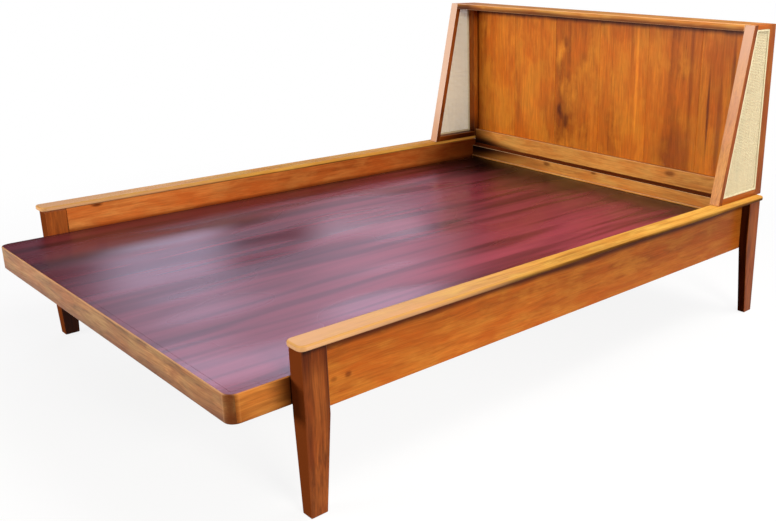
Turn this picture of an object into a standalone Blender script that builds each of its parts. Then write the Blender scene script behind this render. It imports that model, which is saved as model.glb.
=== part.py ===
"""A low double bed with a boxed headboard and cane wings, as the separate pieces a joiner would cut.

Metres, +Z up, +Y towards the head. The origin is on the floor under the middle of the bed.
"""

import math

import bmesh
import bpy
from mathutils import Vector

# Clearances
FIT = 0.0003  # glue line between two pieces that touch
DECK_SIDE_GAP = 0.004  # deck to side rail, each side
DECK_HEAD_GAP = 0.001  # deck to head rail

# Deck, sized for a full mattress
DECK_LENGTH = 1.905
DECK_WIDTH = 1.372
DECK_TOP = 0.336
DECK_THICKNESS = 0.068
DECK_PANEL_THICKNESS = 0.018
DECK_EDGE_WIDTH = 0.016
DECK_CORNER_RADIUS = 0.026
DECK_BEARER_WIDTH = 0.045
DECK_BEARER_COUNT = 5
FOOT_OVERHANG = 0.140  # deck past the front of the foot legs
BEAD_HEIGHT = 0.007
BEAD_DEPTH = 0.007

# Sides
SIDE_RISE = 0.088  # top of the cap above the deck
CAP_WIDTH = 0.061
CAP_THICKNESS = 0.014
CAP_OVERHANG = 0.009  # past the legs, at both ends
CAP_CORNER_RADIUS = 0.016
CAP_EDGE_ROUND = 0.004
RAIL_THICKNESS = 0.019
RAIL_DROP = 0.0235  # bottom of the rail below the deck
CLEAT_WIDTH = 0.022
CLEAT_HEIGHT = 0.022

# Legs
LEG_DEPTH = 0.062
LEG_EDGE_ROUND = 0.003
FOOT_LEG_WIDTH = 0.051
FOOT_TOE_WIDTH = 0.036
FOOT_TOE_DEPTH = 0.043
FOOT_TOE_SETBACK = 0.007  # toe behind the front of the leg
HEAD_LEG_WIDTH = 0.032
HEAD_TOE_WIDTH = 0.028
HEAD_TOE_DEPTH = 0.043
HEAD_TOE_SETBACK = 0.044
HEAD_TOE_INSET = 0.009  # toe inside the inner face of the leg

# Cross rails and glue blocks
HEAD_RAIL_THICKNESS = 0.017
HEAD_RAIL_GAP = 0.004  # shadow line under the headboard
FOOT_RAIL_THICKNESS = 0.022
FOOT_RAIL_HEIGHT = 0.036
FOOT_RAIL_SETBACK = 0.038  # behind the front of the foot legs
BLOCK_SIZE = 0.055
BLOCK_HEIGHT = 0.022

# Headboard
HEADBOARD_RISE = 0.565  # top of the headboard above the cap
HEADBOARD_OVERHANG = 0.028  # rear of the headboard past the head legs
TOP_BOARD_THICKNESS = 0.0215
BOTTOM_RAIL_DEPTH = 0.031
BOTTOM_RAIL_DROP = 0.026  # bottom of the rail below the top of the cap
BOTTOM_RAIL_LAP = 0.012  # lap of the rail behind the head rail, which closes the shadow line
BOARD_RISE = 0.0155  # seat of the boards above the top of the cap
BOARD_COUNT = 6
BOARD_THICKNESS = 0.017
BOARD_LAP_BOTTOM = 0.015  # boards behind the bottom rail
BOARD_LAP_TOP = 0.010  # boards behind the top board
FRAME_EDGE_ROUND = 0.0015

# Wings
WING_THICKNESS = 0.037
WING_INNER_OVERHANG = 0.0035  # past the inner edge of the cap
WING_BOTTOM_DEPTH = 0.257
WING_TOP_DEPTH = 0.127
FRONT_STILE_DEPTH = 0.020
REAR_STILE_DEPTH = 0.036
WING_BOTTOM_RAIL_HEIGHT = 0.020
WING_TOP_RAIL_HEIGHT = 0.015
CANE_THICKNESS = 0.003
SPLINE_WIDTH = 0.006
SPLINE_THICKNESS = 0.003

# Tenons
TENON_SHOULDER = 0.012  # step of a frame rail above and below its tenon
TENON_ROOT = 0.010  # tenon let back into its own rail
SIDE_TENON_THICKNESS = 0.009
SIDE_TENON_LENGTH = 0.025
FOOT_TENON_THICKNESS = 0.010
FOOT_TENON_LENGTH = 0.022
FOOT_TENON_SHOULDER = 0.004  # step of the foot rail below its tenon
FOOT_TENON_WALL = 0.006  # leg left between its two mortises
HEAD_TENON_THICKNESS = 0.008
HEAD_TENON_LENGTH = 0.010
WING_TENON_THICKNESS = 0.012
WING_TENON_HEIGHT = 0.007
WING_TENON_LENGTH = 0.010
TOP_TENON_THICKNESS = 0.006
TOP_TENON_WIDTH = 0.032
BOTTOM_TENON_THICKNESS = 0.008
BOTTOM_TENON_HEIGHT = 0.008
HEADBOARD_TENON_LENGTH = 0.014

# Dowels and screws
DOWEL_SIDES = 8
DOWEL_RADIUS = 0.004
CAP_DOWEL_COVER = 0.005  # cap left above the dowel
WING_DOWEL_COVER = 0.007  # bottom rail of the wing left above the dowel
RAIL_DOWEL_DEPTH = 0.022  # into the top of the side rail
SCREW_SIDES = 8
SCREW_RADIUS = 0.0025
SCREW_HEAD_RADIUS = 0.0045
SCREW_HEAD_HEIGHT = 0.0030
SCREW_COVER = 0.010  # leg left past the point
SCREW_MOUTH = 0.002  # countersink cutter past the face

# Heights that follow from the sizes above
DECK_BOTTOM = DECK_TOP - DECK_THICKNESS
CAP_TOP = DECK_TOP + SIDE_RISE
CAP_BOTTOM = CAP_TOP - CAP_THICKNESS
SIDE_TOP = CAP_BOTTOM - FIT
RAIL_BOTTOM = DECK_BOTTOM - RAIL_DROP
UNDER_DECK = DECK_BOTTOM - FIT
WING_BOTTOM = CAP_TOP + FIT
WING_TOP = CAP_TOP + HEADBOARD_RISE
BOTTOM_RAIL_BOTTOM = CAP_TOP - BOTTOM_RAIL_DROP
BOARD_SEAT = CAP_TOP + BOARD_RISE
BOTTOM_RAIL_TOP = BOARD_SEAT + BOARD_LAP_BOTTOM
TOP_BOARD_BOTTOM = WING_TOP - TOP_BOARD_THICKNESS
HEAD_RAIL_TOP = BOTTOM_RAIL_BOTTOM - HEAD_RAIL_GAP

# Places along the bed, from the foot of the deck to the rear of the headboard
HEAD_STACK = DECK_HEAD_GAP + HEAD_RAIL_THICKNESS + HEADBOARD_OVERHANG
DECK_FOOT = -(DECK_LENGTH + HEAD_STACK) / 2
DECK_HEAD = DECK_FOOT + DECK_LENGTH
HEAD_RAIL_FRONT = DECK_HEAD + DECK_HEAD_GAP
FRAME_HEAD = HEAD_RAIL_FRONT + HEAD_RAIL_THICKNESS
FRAME_FOOT = DECK_FOOT + FOOT_OVERHANG
REAR = FRAME_HEAD + HEADBOARD_OVERHANG
BOARD_FRONT = REAR - BOARD_THICKNESS
FOOT_LEG_REAR = FRAME_FOOT + LEG_DEPTH
HEAD_LEG_FRONT = FRAME_HEAD - LEG_DEPTH
FOOT_RAIL_REAR = FRAME_FOOT + FOOT_RAIL_SETBACK + FOOT_RAIL_THICKNESS

# Places across the bed
SIDE_INNER = DECK_WIDTH / 2 + DECK_SIDE_GAP
RAIL_OUTER = SIDE_INNER + RAIL_THICKNESS
RAIL_MIDDLE = SIDE_INNER + RAIL_THICKNESS / 2
WING_INNER = SIDE_INNER - WING_INNER_OVERHANG
WING_OUTER = WING_INNER + WING_THICKNESS
DECK_INNER = DECK_WIDTH / 2 - DECK_EDGE_WIDTH

SIDES = (("left", -1), ("right", 1))
ARC_STEPS = 5


def clear_scene():
    """Removes every object of the scene."""
    for thing in list(bpy.data.objects):
        bpy.data.objects.remove(thing, do_unlink=True)


def new_collection(name):
    """A collection linked to the scene."""
    made = bpy.data.collections.new(name)
    bpy.context.scene.collection.children.link(made)
    return made


def finish(name, colour, roughness, metallic=0.0):
    """A Principled material from an sRGB hex colour."""
    made = bpy.data.materials.new(name)
    made.use_nodes = True
    shader = made.node_tree.nodes["Principled BSDF"]
    channels = [int(colour[i : i + 2], 16) / 255 for i in (0, 2, 4)]
    linear = [c / 12.92 if c <= 0.04045 else ((c + 0.055) / 1.055) ** 2.4 for c in channels]
    shader.inputs["Base Color"].default_value = (*linear, 1)
    shader.inputs["Roughness"].default_value = roughness
    shader.inputs["Metallic"].default_value = metallic
    return made


def add_object(name, mesh, material, place=(0, 0, 0)):
    """An object of the bed at its place, with its finish."""
    made = bpy.data.objects.new(name, mesh)
    made.location = place
    mesh.materials.clear()
    mesh.materials.append(material)
    PARTS.objects.link(made)
    return made


def round_edges(piece, width, segments=1):
    """Eases the sharp edges of a piece."""
    bevel = piece.modifiers.new("eased edges", "BEVEL")
    bevel.width = width
    bevel.segments = segments
    bevel.limit_method = "ANGLE"
    bevel.angle_limit = math.radians(40)


def box_mesh(name, size):
    """A squared block about its own middle."""
    shape = bmesh.new()
    bmesh.ops.create_cube(shape, size=1)
    bmesh.ops.scale(shape, vec=size, verts=shape.verts)
    mesh = bpy.data.meshes.new(name)
    shape.to_mesh(mesh)
    shape.free()
    return mesh


def box(name, low, high, material):
    """A squared piece between two corners."""
    low, high = Vector(low), Vector(high)
    return add_object(name, box_mesh(name, high - low), material, (low + high) / 2)


def outline_mesh(name, outlines, thickness):
    """A flat plate of closed outlines in its own XY plane. A second outline is a hole in the first."""
    curve = bpy.data.curves.new(name, "CURVE")
    curve.dimensions = "2D"
    curve.fill_mode = "BOTH"
    curve.extrude = thickness / 2
    for outline in outlines:
        spline = curve.splines.new("POLY")
        spline.points.add(len(outline) - 1)
        for point, (x, y) in zip(spline.points, outline):
            point.co = (x, y, 0, 1)
        spline.use_cyclic_u = True
    drawn = bpy.data.objects.new(name, curve)
    bpy.context.scene.collection.objects.link(drawn)
    bpy.context.view_layer.update()
    mesh = bpy.data.meshes.new_from_object(drawn.evaluated_get(bpy.context.evaluated_depsgraph_get()))
    bpy.data.objects.remove(drawn)
    shape = bmesh.new()
    shape.from_mesh(mesh)
    bmesh.ops.remove_doubles(shape, verts=shape.verts, dist=0.00001)
    bmesh.ops.recalc_face_normals(shape, faces=shape.faces)
    shape.to_mesh(mesh)
    shape.free()
    return mesh


def plan_plate(name, outline, low, high, material):
    """A plate with an outline seen from above, between two heights."""
    mesh = outline_mesh(name, [outline], high - low)
    return add_object(name, mesh, material, (0, 0, (low + high) / 2))


def side_plate(name, outlines, low, high, material):
    """A plate with outlines of (y, z) points seen from the side, between two places across the bed."""
    piece = add_object(name, outline_mesh(name, outlines, high - low), material, ((low + high) / 2, 0, 0))
    piece.rotation_euler = (math.pi / 2, 0, math.pi / 2)
    return piece


def arc(centre, radius, start, end):
    """Points of an arc, anticlockwise from start to end degrees."""
    points = []
    for step in range(ARC_STEPS + 1):
        angle = math.radians(start + (end - start) * step / ARC_STEPS)
        points.append((centre[0] + radius * math.cos(angle), centre[1] + radius * math.sin(angle)))
    return points


def span(side, near, far):
    """Low and high x of a stretch that runs from near to far out from the centreline."""
    return sorted((side * near, side * far))


def around(middle, width):
    """Low and high ends of a width about its middle."""
    return middle - width / 2, middle + width / 2


def spread(low, high, count):
    """Places evenly spread over a stretch, half a pitch in from its ends."""
    pitch = (high - low) / count
    return [low + pitch * (step + 0.5) for step in range(count)]


def side_box(name, side, near, far, y_span, z_span, material):
    """A squared piece on one side of the bed."""
    low_x, high_x = span(side, near, far)
    return box(name, (low_x, y_span[0], z_span[0]), (high_x, y_span[1], z_span[1]), material)


def leg(name, side, inner, width, y_span, toe, toe_span, material):
    """A leg that is straight beside the rail and tapers below it to a toe of two places across and along."""
    piece = side_box(name, side, inner, inner + width, y_span, (0, SIDE_TOP), material)
    shape = bmesh.new()
    shape.from_mesh(piece.data)
    origin = piece.location
    cut = RAIL_BOTTOM - origin.z
    everything = [*shape.verts, *shape.edges, *shape.faces]
    bmesh.ops.bisect_plane(shape, geom=everything, plane_co=(0, 0, cut), plane_no=(0, 0, 1))
    for corner in shape.verts:
        if corner.co.z < cut - FIT:
            is_outer = corner.co.x * side > 0
            is_rear = corner.co.y > 0
            corner.co.x = side * toe[is_outer] - origin.x
            corner.co.y = toe_span[is_rear] - origin.y
    shape.to_mesh(piece.data)
    shape.free()
    round_edges(piece, LEG_EDGE_ROUND)
    return piece


def make_legs():
    """Four legs: the foot pair takes the rail ends, the head pair is planted outside the rails."""
    head_inner = RAIL_OUTER + FIT
    foot_front = FRAME_FOOT + FOOT_TOE_SETBACK
    foot_toe = (SIDE_INNER, SIDE_INNER + FOOT_TOE_WIDTH)
    head_front = HEAD_LEG_FRONT + HEAD_TOE_SETBACK
    head_toe = (head_inner - HEAD_TOE_INSET, head_inner - HEAD_TOE_INSET + HEAD_TOE_WIDTH)
    for word, side in SIDES:
        leg(
            f"foot_leg_{word}", side, SIDE_INNER, FOOT_LEG_WIDTH, (FRAME_FOOT, FOOT_LEG_REAR),
            foot_toe, (foot_front, foot_front + FOOT_TOE_DEPTH), LEG_WOOD,
        )
        leg(
            f"head_leg_{word}", side, head_inner, HEAD_LEG_WIDTH, (HEAD_LEG_FRONT, FRAME_HEAD),
            head_toe, (head_front, head_front + HEAD_TOE_DEPTH), LEG_WOOD,
        )


def make_sides():
    """The side rails and the flat caps that lie on them and on the legs."""
    foot, head = FRAME_FOOT - CAP_OVERHANG, FRAME_HEAD + CAP_OVERHANG
    radius = min(CAP_CORNER_RADIUS, CAP_WIDTH / 2 - FIT)
    for word, side in SIDES:
        side_box(
            f"side_rail_{word}", side, SIDE_INNER, RAIL_OUTER, (FOOT_LEG_REAR + FIT, FRAME_HEAD),
            (RAIL_BOTTOM, SIDE_TOP), RAIL_WOOD,
        )
        low_x, high_x = span(side, SIDE_INNER, SIDE_INNER + CAP_WIDTH)
        outline = [
            *arc((high_x - radius, head - radius), radius, 0, 90),
            *arc((low_x + radius, head - radius), radius, 90, 180),
            *arc((low_x + radius, foot + radius), radius, 180, 270),
            *arc((high_x - radius, foot + radius), radius, 270, 360),
        ]
        cap = plan_plate(f"side_cap_{word}", outline, CAP_BOTTOM, CAP_TOP, CAP_WOOD)
        round_edges(cap, CAP_EDGE_ROUND, 2)


def make_cross_rails():
    """The head and foot rails, the bead on the head rail, and the blocks glued into the corners."""
    inner = SIDE_INNER - FIT
    box(
        "head_rail", (-inner, HEAD_RAIL_FRONT, RAIL_BOTTOM), (inner, FRAME_HEAD, HEAD_RAIL_TOP), RAIL_WOOD
    )
    bead_rear = HEAD_RAIL_FRONT - FIT
    bead = box(
        "head_bead",
        (-WING_INNER, bead_rear - BEAD_DEPTH, DECK_TOP + FIT),
        (WING_INNER, bead_rear, DECK_TOP + FIT + BEAD_HEIGHT),
        CAP_WOOD,
    )
    round_edges(bead, min(BEAD_HEIGHT, BEAD_DEPTH) / 3)
    box(
        "foot_rail",
        (-inner, FOOT_RAIL_REAR - FOOT_RAIL_THICKNESS, UNDER_DECK - FOOT_RAIL_HEIGHT),
        (inner, FOOT_RAIL_REAR, UNDER_DECK),
        PINE,
    )
    ends = (("foot", FOOT_RAIL_REAR + FIT, 1), ("head", HEAD_RAIL_FRONT - FIT, -1))
    for word, side in SIDES:
        for end, face, way in ends:
            outline = [
                (side * inner, face),
                (side * (inner - BLOCK_SIZE), face),
                (side * inner, face + way * BLOCK_SIZE),
            ]
            plan_plate(f"corner_block_{end}_{word}", outline, UNDER_DECK - BLOCK_HEIGHT, UNDER_DECK, PINE)


def make_cleats():
    """The strips along the rails that carry the deck, between the corner blocks."""
    start = FOOT_RAIL_REAR + FIT + BLOCK_SIZE + FIT
    end = HEAD_RAIL_FRONT - FIT - BLOCK_SIZE - FIT
    inner = SIDE_INNER - FIT
    z_span = (UNDER_DECK - CLEAT_HEIGHT, UNDER_DECK)
    for word, side in SIDES:
        side_box(f"side_cleat_{word}", side, inner - CLEAT_WIDTH, inner, (start, end), z_span, PINE)


def deck_corner(near, far):
    """The stretch of the deck's round foot corner between two distances from its foot, on the right side."""
    radius = DECK_CORNER_RADIUS
    middle = (DECK_WIDTH / 2 - radius, DECK_FOOT + radius)
    if near >= radius:
        return [(DECK_WIDTH / 2, DECK_FOOT + near)]
    start, end = (math.degrees(math.asin(min(reach, radius) / radius - 1)) for reach in (near, far))
    return arc(middle, radius, start, end)


def make_deck():
    """The hollow deck: four thick edges, bearers across the inside and the stained panel let in flush."""
    half = DECK_WIDTH / 2
    foot_inner = DECK_FOOT + DECK_EDGE_WIDTH
    head_inner = DECK_HEAD - DECK_EDGE_WIDTH
    y_span = (foot_inner + FIT, head_inner - FIT)
    foot_corner = deck_corner(0, DECK_EDGE_WIDTH)
    foot_outline = [*foot_corner, *((-x, y) for x, y in reversed(foot_corner))]
    plan_plate("deck_edge_foot", foot_outline, DECK_BOTTOM, DECK_TOP, EDGE_WOOD)
    box("deck_edge_head", (-half, head_inner, DECK_BOTTOM), (half, DECK_HEAD, DECK_TOP), EDGE_WOOD)
    side_corner = deck_corner(DECK_EDGE_WIDTH + FIT, DECK_LENGTH)
    side_outline = [*side_corner, (half, y_span[1]), (DECK_INNER, y_span[1]), (DECK_INNER, y_span[0])]
    for word, side in SIDES:
        outline = [(side * x, y) for x, y in side_outline]
        plan_plate(f"deck_edge_{word}", outline, DECK_BOTTOM, DECK_TOP, EDGE_WOOD)
    inside = DECK_INNER - FIT
    panel_bottom = DECK_TOP - DECK_PANEL_THICKNESS
    box("deck_panel", (-inside, y_span[0], panel_bottom), (inside, y_span[1], DECK_TOP), MAHOGANY)
    pitch = (head_inner - foot_inner) / (DECK_BEARER_COUNT + 1)
    for number in range(1, DECK_BEARER_COUNT + 1):
        front = foot_inner + pitch * number - DECK_BEARER_WIDTH / 2
        box(
            f"deck_bearer_{number}",
            (-inside, front, DECK_BOTTOM),
            (inside, front + DECK_BEARER_WIDTH, panel_bottom - FIT),
            PINE,
        )


def wing_front(height):
    """Place along the bed of the sloping front of the wings at a height."""
    rise = (height - WING_BOTTOM) / (WING_TOP - WING_BOTTOM)
    return REAR - WING_BOTTOM_DEPTH + (WING_BOTTOM_DEPTH - WING_TOP_DEPTH) * rise


def wing_frame(low, high, gap):
    """Outline between the two stiles of a wing from one height to another, clear of them by a gap."""
    front, rear = FRONT_STILE_DEPTH + gap, REAR - REAR_STILE_DEPTH - gap
    return [(wing_front(low) + front, low), (rear, low), (rear, high), (wing_front(high) + front, high)]


def make_wings():
    """The two sloping wings: a frame of four members, the cane sheet near its outer face and its spline."""
    cane_low = WING_BOTTOM + WING_BOTTOM_RAIL_HEIGHT + FIT
    cane_high = WING_TOP - WING_TOP_RAIL_HEIGHT - FIT
    stile = [
        (wing_front(WING_BOTTOM), WING_BOTTOM),
        (wing_front(WING_BOTTOM) + FRONT_STILE_DEPTH, WING_BOTTOM),
        (wing_front(WING_TOP) + FRONT_STILE_DEPTH, WING_TOP),
        (wing_front(WING_TOP), WING_TOP),
    ]
    ring = [
        wing_frame(cane_low, cane_high, FIT),
        wing_frame(cane_low + SPLINE_WIDTH, cane_high - SPLINE_WIDTH, SPLINE_WIDTH),
    ]
    spline_inner = WING_OUTER - SPLINE_THICKNESS
    cane_outer = spline_inner - FIT
    for word, side in SIDES:
        name = f"wing_{word}"
        across = span(side, WING_INNER, WING_OUTER)
        front_stile = side_plate(f"{name}_front_stile", [stile], *across, WING_WOOD)
        rear_stile = side_box(
            f"{name}_rear_stile", side, WING_INNER, WING_OUTER, (REAR - REAR_STILE_DEPTH, REAR),
            (WING_BOTTOM, WING_TOP), WING_WOOD,
        )
        bottom = wing_frame(WING_BOTTOM, WING_BOTTOM + WING_BOTTOM_RAIL_HEIGHT, FIT)
        top = wing_frame(WING_TOP - WING_TOP_RAIL_HEIGHT, WING_TOP, FIT)
        bottom_rail = side_plate(f"{name}_bottom_rail", [bottom], *across, WING_WOOD)
        top_rail = side_plate(f"{name}_top_rail", [top], *across, WING_WOOD)
        for member in (front_stile, rear_stile, bottom_rail, top_rail):
            round_edges(member, FRAME_EDGE_ROUND)
        sheet = span(side, cane_outer - CANE_THICKNESS, cane_outer)
        side_plate(f"{name}_cane", [wing_frame(cane_low, cane_high, FIT)], *sheet, CANE)
        side_plate(f"{name}_spline", ring, *span(side, spline_inner, WING_OUTER), CANE)


def make_headboard():
    """The top board, the bottom rail and the upright boards that lap behind both."""
    reach = WING_INNER - FIT
    board_face = BOARD_FRONT - FIT
    lap_high = TOP_BOARD_BOTTOM + BOARD_LAP_TOP
    front = REAR - BOTTOM_RAIL_DEPTH
    bottom = [
        (front, BOTTOM_RAIL_BOTTOM), (REAR, BOTTOM_RAIL_BOTTOM), (REAR, BOARD_SEAT),
        (board_face, BOARD_SEAT), (board_face, BOTTOM_RAIL_TOP), (front, BOTTOM_RAIL_TOP),
    ]
    top = [
        (wing_front(TOP_BOARD_BOTTOM), TOP_BOARD_BOTTOM), (board_face, TOP_BOARD_BOTTOM),
        (board_face, lap_high), (REAR, lap_high), (REAR, WING_TOP), (wing_front(WING_TOP), WING_TOP),
    ]
    side_plate("headboard_bottom_rail", [bottom], -reach, reach, WING_WOOD)
    side_plate("headboard_top_board", [top], -reach, reach, WING_WOOD)
    pitch = (2 * reach + FIT) / BOARD_COUNT
    for number in range(BOARD_COUNT):
        left = -reach + pitch * number
        box(
            f"headboard_board_{number + 1}",
            (left, BOARD_FRONT, BOARD_SEAT + FIT),
            (left + pitch - FIT, REAR, lap_high - FIT),
            PANEL_WOOD,
        )


def guide(name, mesh, place):
    """A shape that cuts pieces or joins on to them, and is not a piece itself."""
    made = bpy.data.objects.new(name, mesh)
    made.location = place
    made.hide_render = True
    made.display_type = "WIRE"
    CUTTERS.objects.link(made)
    return made


def combine(piece, shape, operation):
    """Cuts a guide out of a piece, or joins it on."""
    step = PARTS.objects[piece].modifiers.new(shape.name, "BOOLEAN")
    step.operation = operation
    step.solver = "EXACT"
    step.object = shape


def tenon(name, side, x_span, y_span, z_span, rail, mortised):
    """A tenon joined to its rail, and the mortise that takes it in the other piece."""
    low_x, high_x = span(side, *x_span)
    low = Vector((low_x, y_span[0], z_span[0]))
    high = Vector((high_x, y_span[1], z_span[1]))
    size, place = high - low, (high + low) / 2
    play = Vector((2 * FIT, 2 * FIT, 2 * FIT))
    combine(rail, guide(f"{name}_tenon", box_mesh(name, size), place), "UNION")
    combine(mortised, guide(f"{name}_mortise", box_mesh(name, size + play), place), "DIFFERENCE")


def make_frame_tenons():
    """Tenons of the side and foot rails in the foot legs, and of the head rail in the side rails."""
    foot_y = FOOT_RAIL_REAR - FOOT_RAIL_THICKNESS / 2
    head_y = HEAD_RAIL_FRONT + HEAD_RAIL_THICKNESS / 2
    side_y = (FOOT_LEG_REAR - SIDE_TENON_LENGTH, FOOT_LEG_REAR + FIT + TENON_ROOT)
    side_z = (RAIL_BOTTOM + TENON_SHOULDER, SIDE_TOP - TENON_SHOULDER)
    foot_z = (UNDER_DECK - FOOT_RAIL_HEIGHT + FOOT_TENON_SHOULDER, side_z[0] - FOOT_TENON_WALL)
    head_z = (RAIL_BOTTOM + TENON_SHOULDER, HEAD_RAIL_TOP - TENON_SHOULDER)
    root = SIDE_INNER - FIT - TENON_ROOT
    for word, side in SIDES:
        foot_leg, side_rail = f"foot_leg_{word}", f"side_rail_{word}"
        tenon(side_rail, side, around(RAIL_MIDDLE, SIDE_TENON_THICKNESS), side_y, side_z, side_rail, foot_leg)
        foot_x = (root, SIDE_INNER + FOOT_TENON_LENGTH)
        foot_across = around(foot_y, FOOT_TENON_THICKNESS)
        tenon(f"foot_rail_{word}", side, foot_x, foot_across, foot_z, "foot_rail", foot_leg)
        head_x = (root, SIDE_INNER + HEAD_TENON_LENGTH)
        head_across = around(head_y, HEAD_TENON_THICKNESS)
        tenon(f"head_rail_{word}", side, head_x, head_across, head_z, "head_rail", side_rail)


def make_wing_tenons():
    """Tenons of the wings' top and bottom rails in their stiles."""
    levels = (
        ("bottom", WING_BOTTOM + WING_BOTTOM_RAIL_HEIGHT / 2),
        ("top", WING_TOP - WING_TOP_RAIL_HEIGHT / 2),
    )
    across = around((WING_INNER + WING_OUTER) / 2, WING_TENON_THICKNESS)
    rear = REAR - REAR_STILE_DEPTH
    for word, side in SIDES:
        for level, middle in levels:
            rail = f"wing_{word}_{level}_rail"
            z_span = around(middle, WING_TENON_HEIGHT)
            front = wing_front(middle) + FRONT_STILE_DEPTH
            front_y = (front - WING_TENON_LENGTH, front + FIT + TENON_ROOT)
            rear_y = (rear - FIT - TENON_ROOT, rear + WING_TENON_LENGTH)
            tenon(f"{rail}_front", side, across, front_y, z_span, rail, f"wing_{word}_front_stile")
            tenon(f"{rail}_rear", side, across, rear_y, z_span, rail, f"wing_{word}_rear_stile")


def make_bottom_rail_lap():
    """The part of the bottom rail that laps behind the head rail and fills the space between the sides."""
    reach = SIDE_INNER - FIT
    low = Vector((-reach, FRAME_HEAD + FIT, HEAD_RAIL_TOP - BOTTOM_RAIL_LAP))
    high = Vector((reach, REAR, CAP_TOP))
    lap = guide("headboard_bottom_rail_lap", box_mesh("lap", high - low), (low + high) / 2)
    combine("headboard_bottom_rail", lap, "UNION")


def make_headboard_tenons():
    """Tenons of the top board and the bottom rail in the wings."""
    across = (WING_INNER - FIT - TENON_ROOT, WING_INNER + HEADBOARD_TENON_LENGTH)
    top_middle = (wing_front(WING_TOP) + FRONT_STILE_DEPTH + REAR - REAR_STILE_DEPTH) / 2
    top_y = around(top_middle, TOP_TENON_WIDTH)
    top_z = around(WING_TOP - WING_TOP_RAIL_HEIGHT / 2, TOP_TENON_THICKNESS)
    bottom_y = around(REAR - BOARD_THICKNESS / 2, BOTTOM_TENON_THICKNESS)
    bottom_z = around((WING_BOTTOM + BOARD_SEAT) / 2, BOTTOM_TENON_HEIGHT)
    top, bottom = "headboard_top_board", "headboard_bottom_rail"
    for word, side in SIDES:
        tenon(f"{top}_{word}", side, across, top_y, top_z, top, f"wing_{word}_top_rail")
        tenon(f"{bottom}_{word}", side, across, bottom_y, bottom_z, bottom, f"wing_{word}_rear_stile")


def turned_mesh(name, profile, sides):
    """A turned piece from (radius, height) points that run down its outside from the axis to the axis."""
    mesh = bpy.data.meshes.new(name)
    edges = [(i, i + 1) for i in range(len(profile) - 1)]
    mesh.from_pydata([(radius, 0, height) for radius, height in profile], edges, [])
    outline = bpy.data.objects.new(name, mesh)
    bpy.context.scene.collection.objects.link(outline)
    turn = outline.modifiers.new("turn", "SCREW")
    turn.steps = turn.render_steps = sides
    turn.use_merge_vertices = True
    turn.merge_threshold = 0.00001
    bpy.context.view_layer.update()
    turned = bpy.data.meshes.new_from_object(outline.evaluated_get(bpy.context.evaluated_depsgraph_get()))
    bpy.data.objects.remove(outline)
    turned.shade_smooth()
    turned.set_sharp_from_angle(angle=math.radians(50))
    return turned


def fasten(name, meshes, place, direction, pieces, material):
    """A dowel or screw whose top points in a direction, and its hole in the pieces that it joins."""
    solid, hole = meshes
    turn = Vector(direction).to_track_quat("Z", "Y").to_euler()
    add_object(name, solid, material, place).rotation_euler = turn
    cutter = guide(f"{name}_hole", hole, place)
    cutter.rotation_euler = turn
    for piece in pieces:
        combine(piece, cutter, "DIFFERENCE")


def dowel_meshes(name, low, high):
    """A dowel between two heights and the larger hole that takes it, both about their middle."""
    made = []
    for play in (0, FIT):
        radius, end = DOWEL_RADIUS + play, (high - low) / 2 + play
        profile = [(0, end), (radius, end), (radius, -end), (0, -end)]
        made.append(turned_mesh(name, profile, DOWEL_SIDES))
    return made


def screw_meshes(name, length):
    """A countersunk screw with the top of its head at zero, and the hole that takes it."""
    made = []
    for play, top in ((0, 0), (FIT, SCREW_MOUTH)):
        head, shank, point = SCREW_HEAD_RADIUS + play, SCREW_RADIUS + play, -length - play
        mouth = [(0, top), (head, top)]
        neck = [(shank, -SCREW_HEAD_HEIGHT), (shank, point), (0, point)]
        profile = [*mouth, (head, 0), *neck] if top else [*mouth, *neck]
        made.append(turned_mesh(name, profile, SCREW_SIDES))
    return made


def make_dowels():
    """Upright dowels: caps on the side rails, and wings through the caps into the side rails."""
    low = SIDE_TOP - RAIL_DOWEL_DEPTH
    cap_high = CAP_TOP - CAP_DOWEL_COVER
    wing_high = WING_BOTTOM + WING_BOTTOM_RAIL_HEIGHT - WING_DOWEL_COVER
    wing_foot = wing_front(WING_BOTTOM)
    cap_ys = spread(FOOT_LEG_REAR, wing_foot, 2)
    wing_ys = spread(wing_foot + FRONT_STILE_DEPTH, HEAD_LEG_FRONT, 2)
    cap_dowel = dowel_meshes("cap dowel", low, cap_high)
    wing_dowel = dowel_meshes("wing dowel", low, wing_high)
    upward = (0, 0, 1)
    for word, side in SIDES:
        joined = [f"side_rail_{word}", f"side_cap_{word}"]
        for end, cap_y, wing_y in zip(("foot", "head"), cap_ys, wing_ys):
            cap_place = (side * RAIL_MIDDLE, cap_y, (low + cap_high) / 2)
            fasten(f"cap_dowel_{end}_{word}", cap_dowel, cap_place, upward, joined, BEECH)
            wing_place = (side * RAIL_MIDDLE, wing_y, (low + wing_high) / 2)
            wing_joined = [*joined, f"wing_{word}_bottom_rail"]
            fasten(f"wing_dowel_{end}_{word}", wing_dowel, wing_place, upward, wing_joined, BEECH)


def make_screws():
    """Screws that hold the head legs, driven through the side rails from inside."""
    screw = screw_meshes("leg screw", RAIL_THICKNESS + FIT + HEAD_LEG_WIDTH - SCREW_COVER)
    y = HEAD_LEG_FRONT + LEG_DEPTH / 3
    for word, side in SIDES:
        joined = [f"side_rail_{word}", f"head_leg_{word}"]
        for level, z in zip(("lower", "upper"), spread(DECK_BOTTOM, DECK_TOP, 2)):
            place = (side * SIDE_INNER, y, z)
            fasten(f"leg_screw_{level}_{word}", screw, place, (-side, 0, 0), joined, STEEL)


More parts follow.
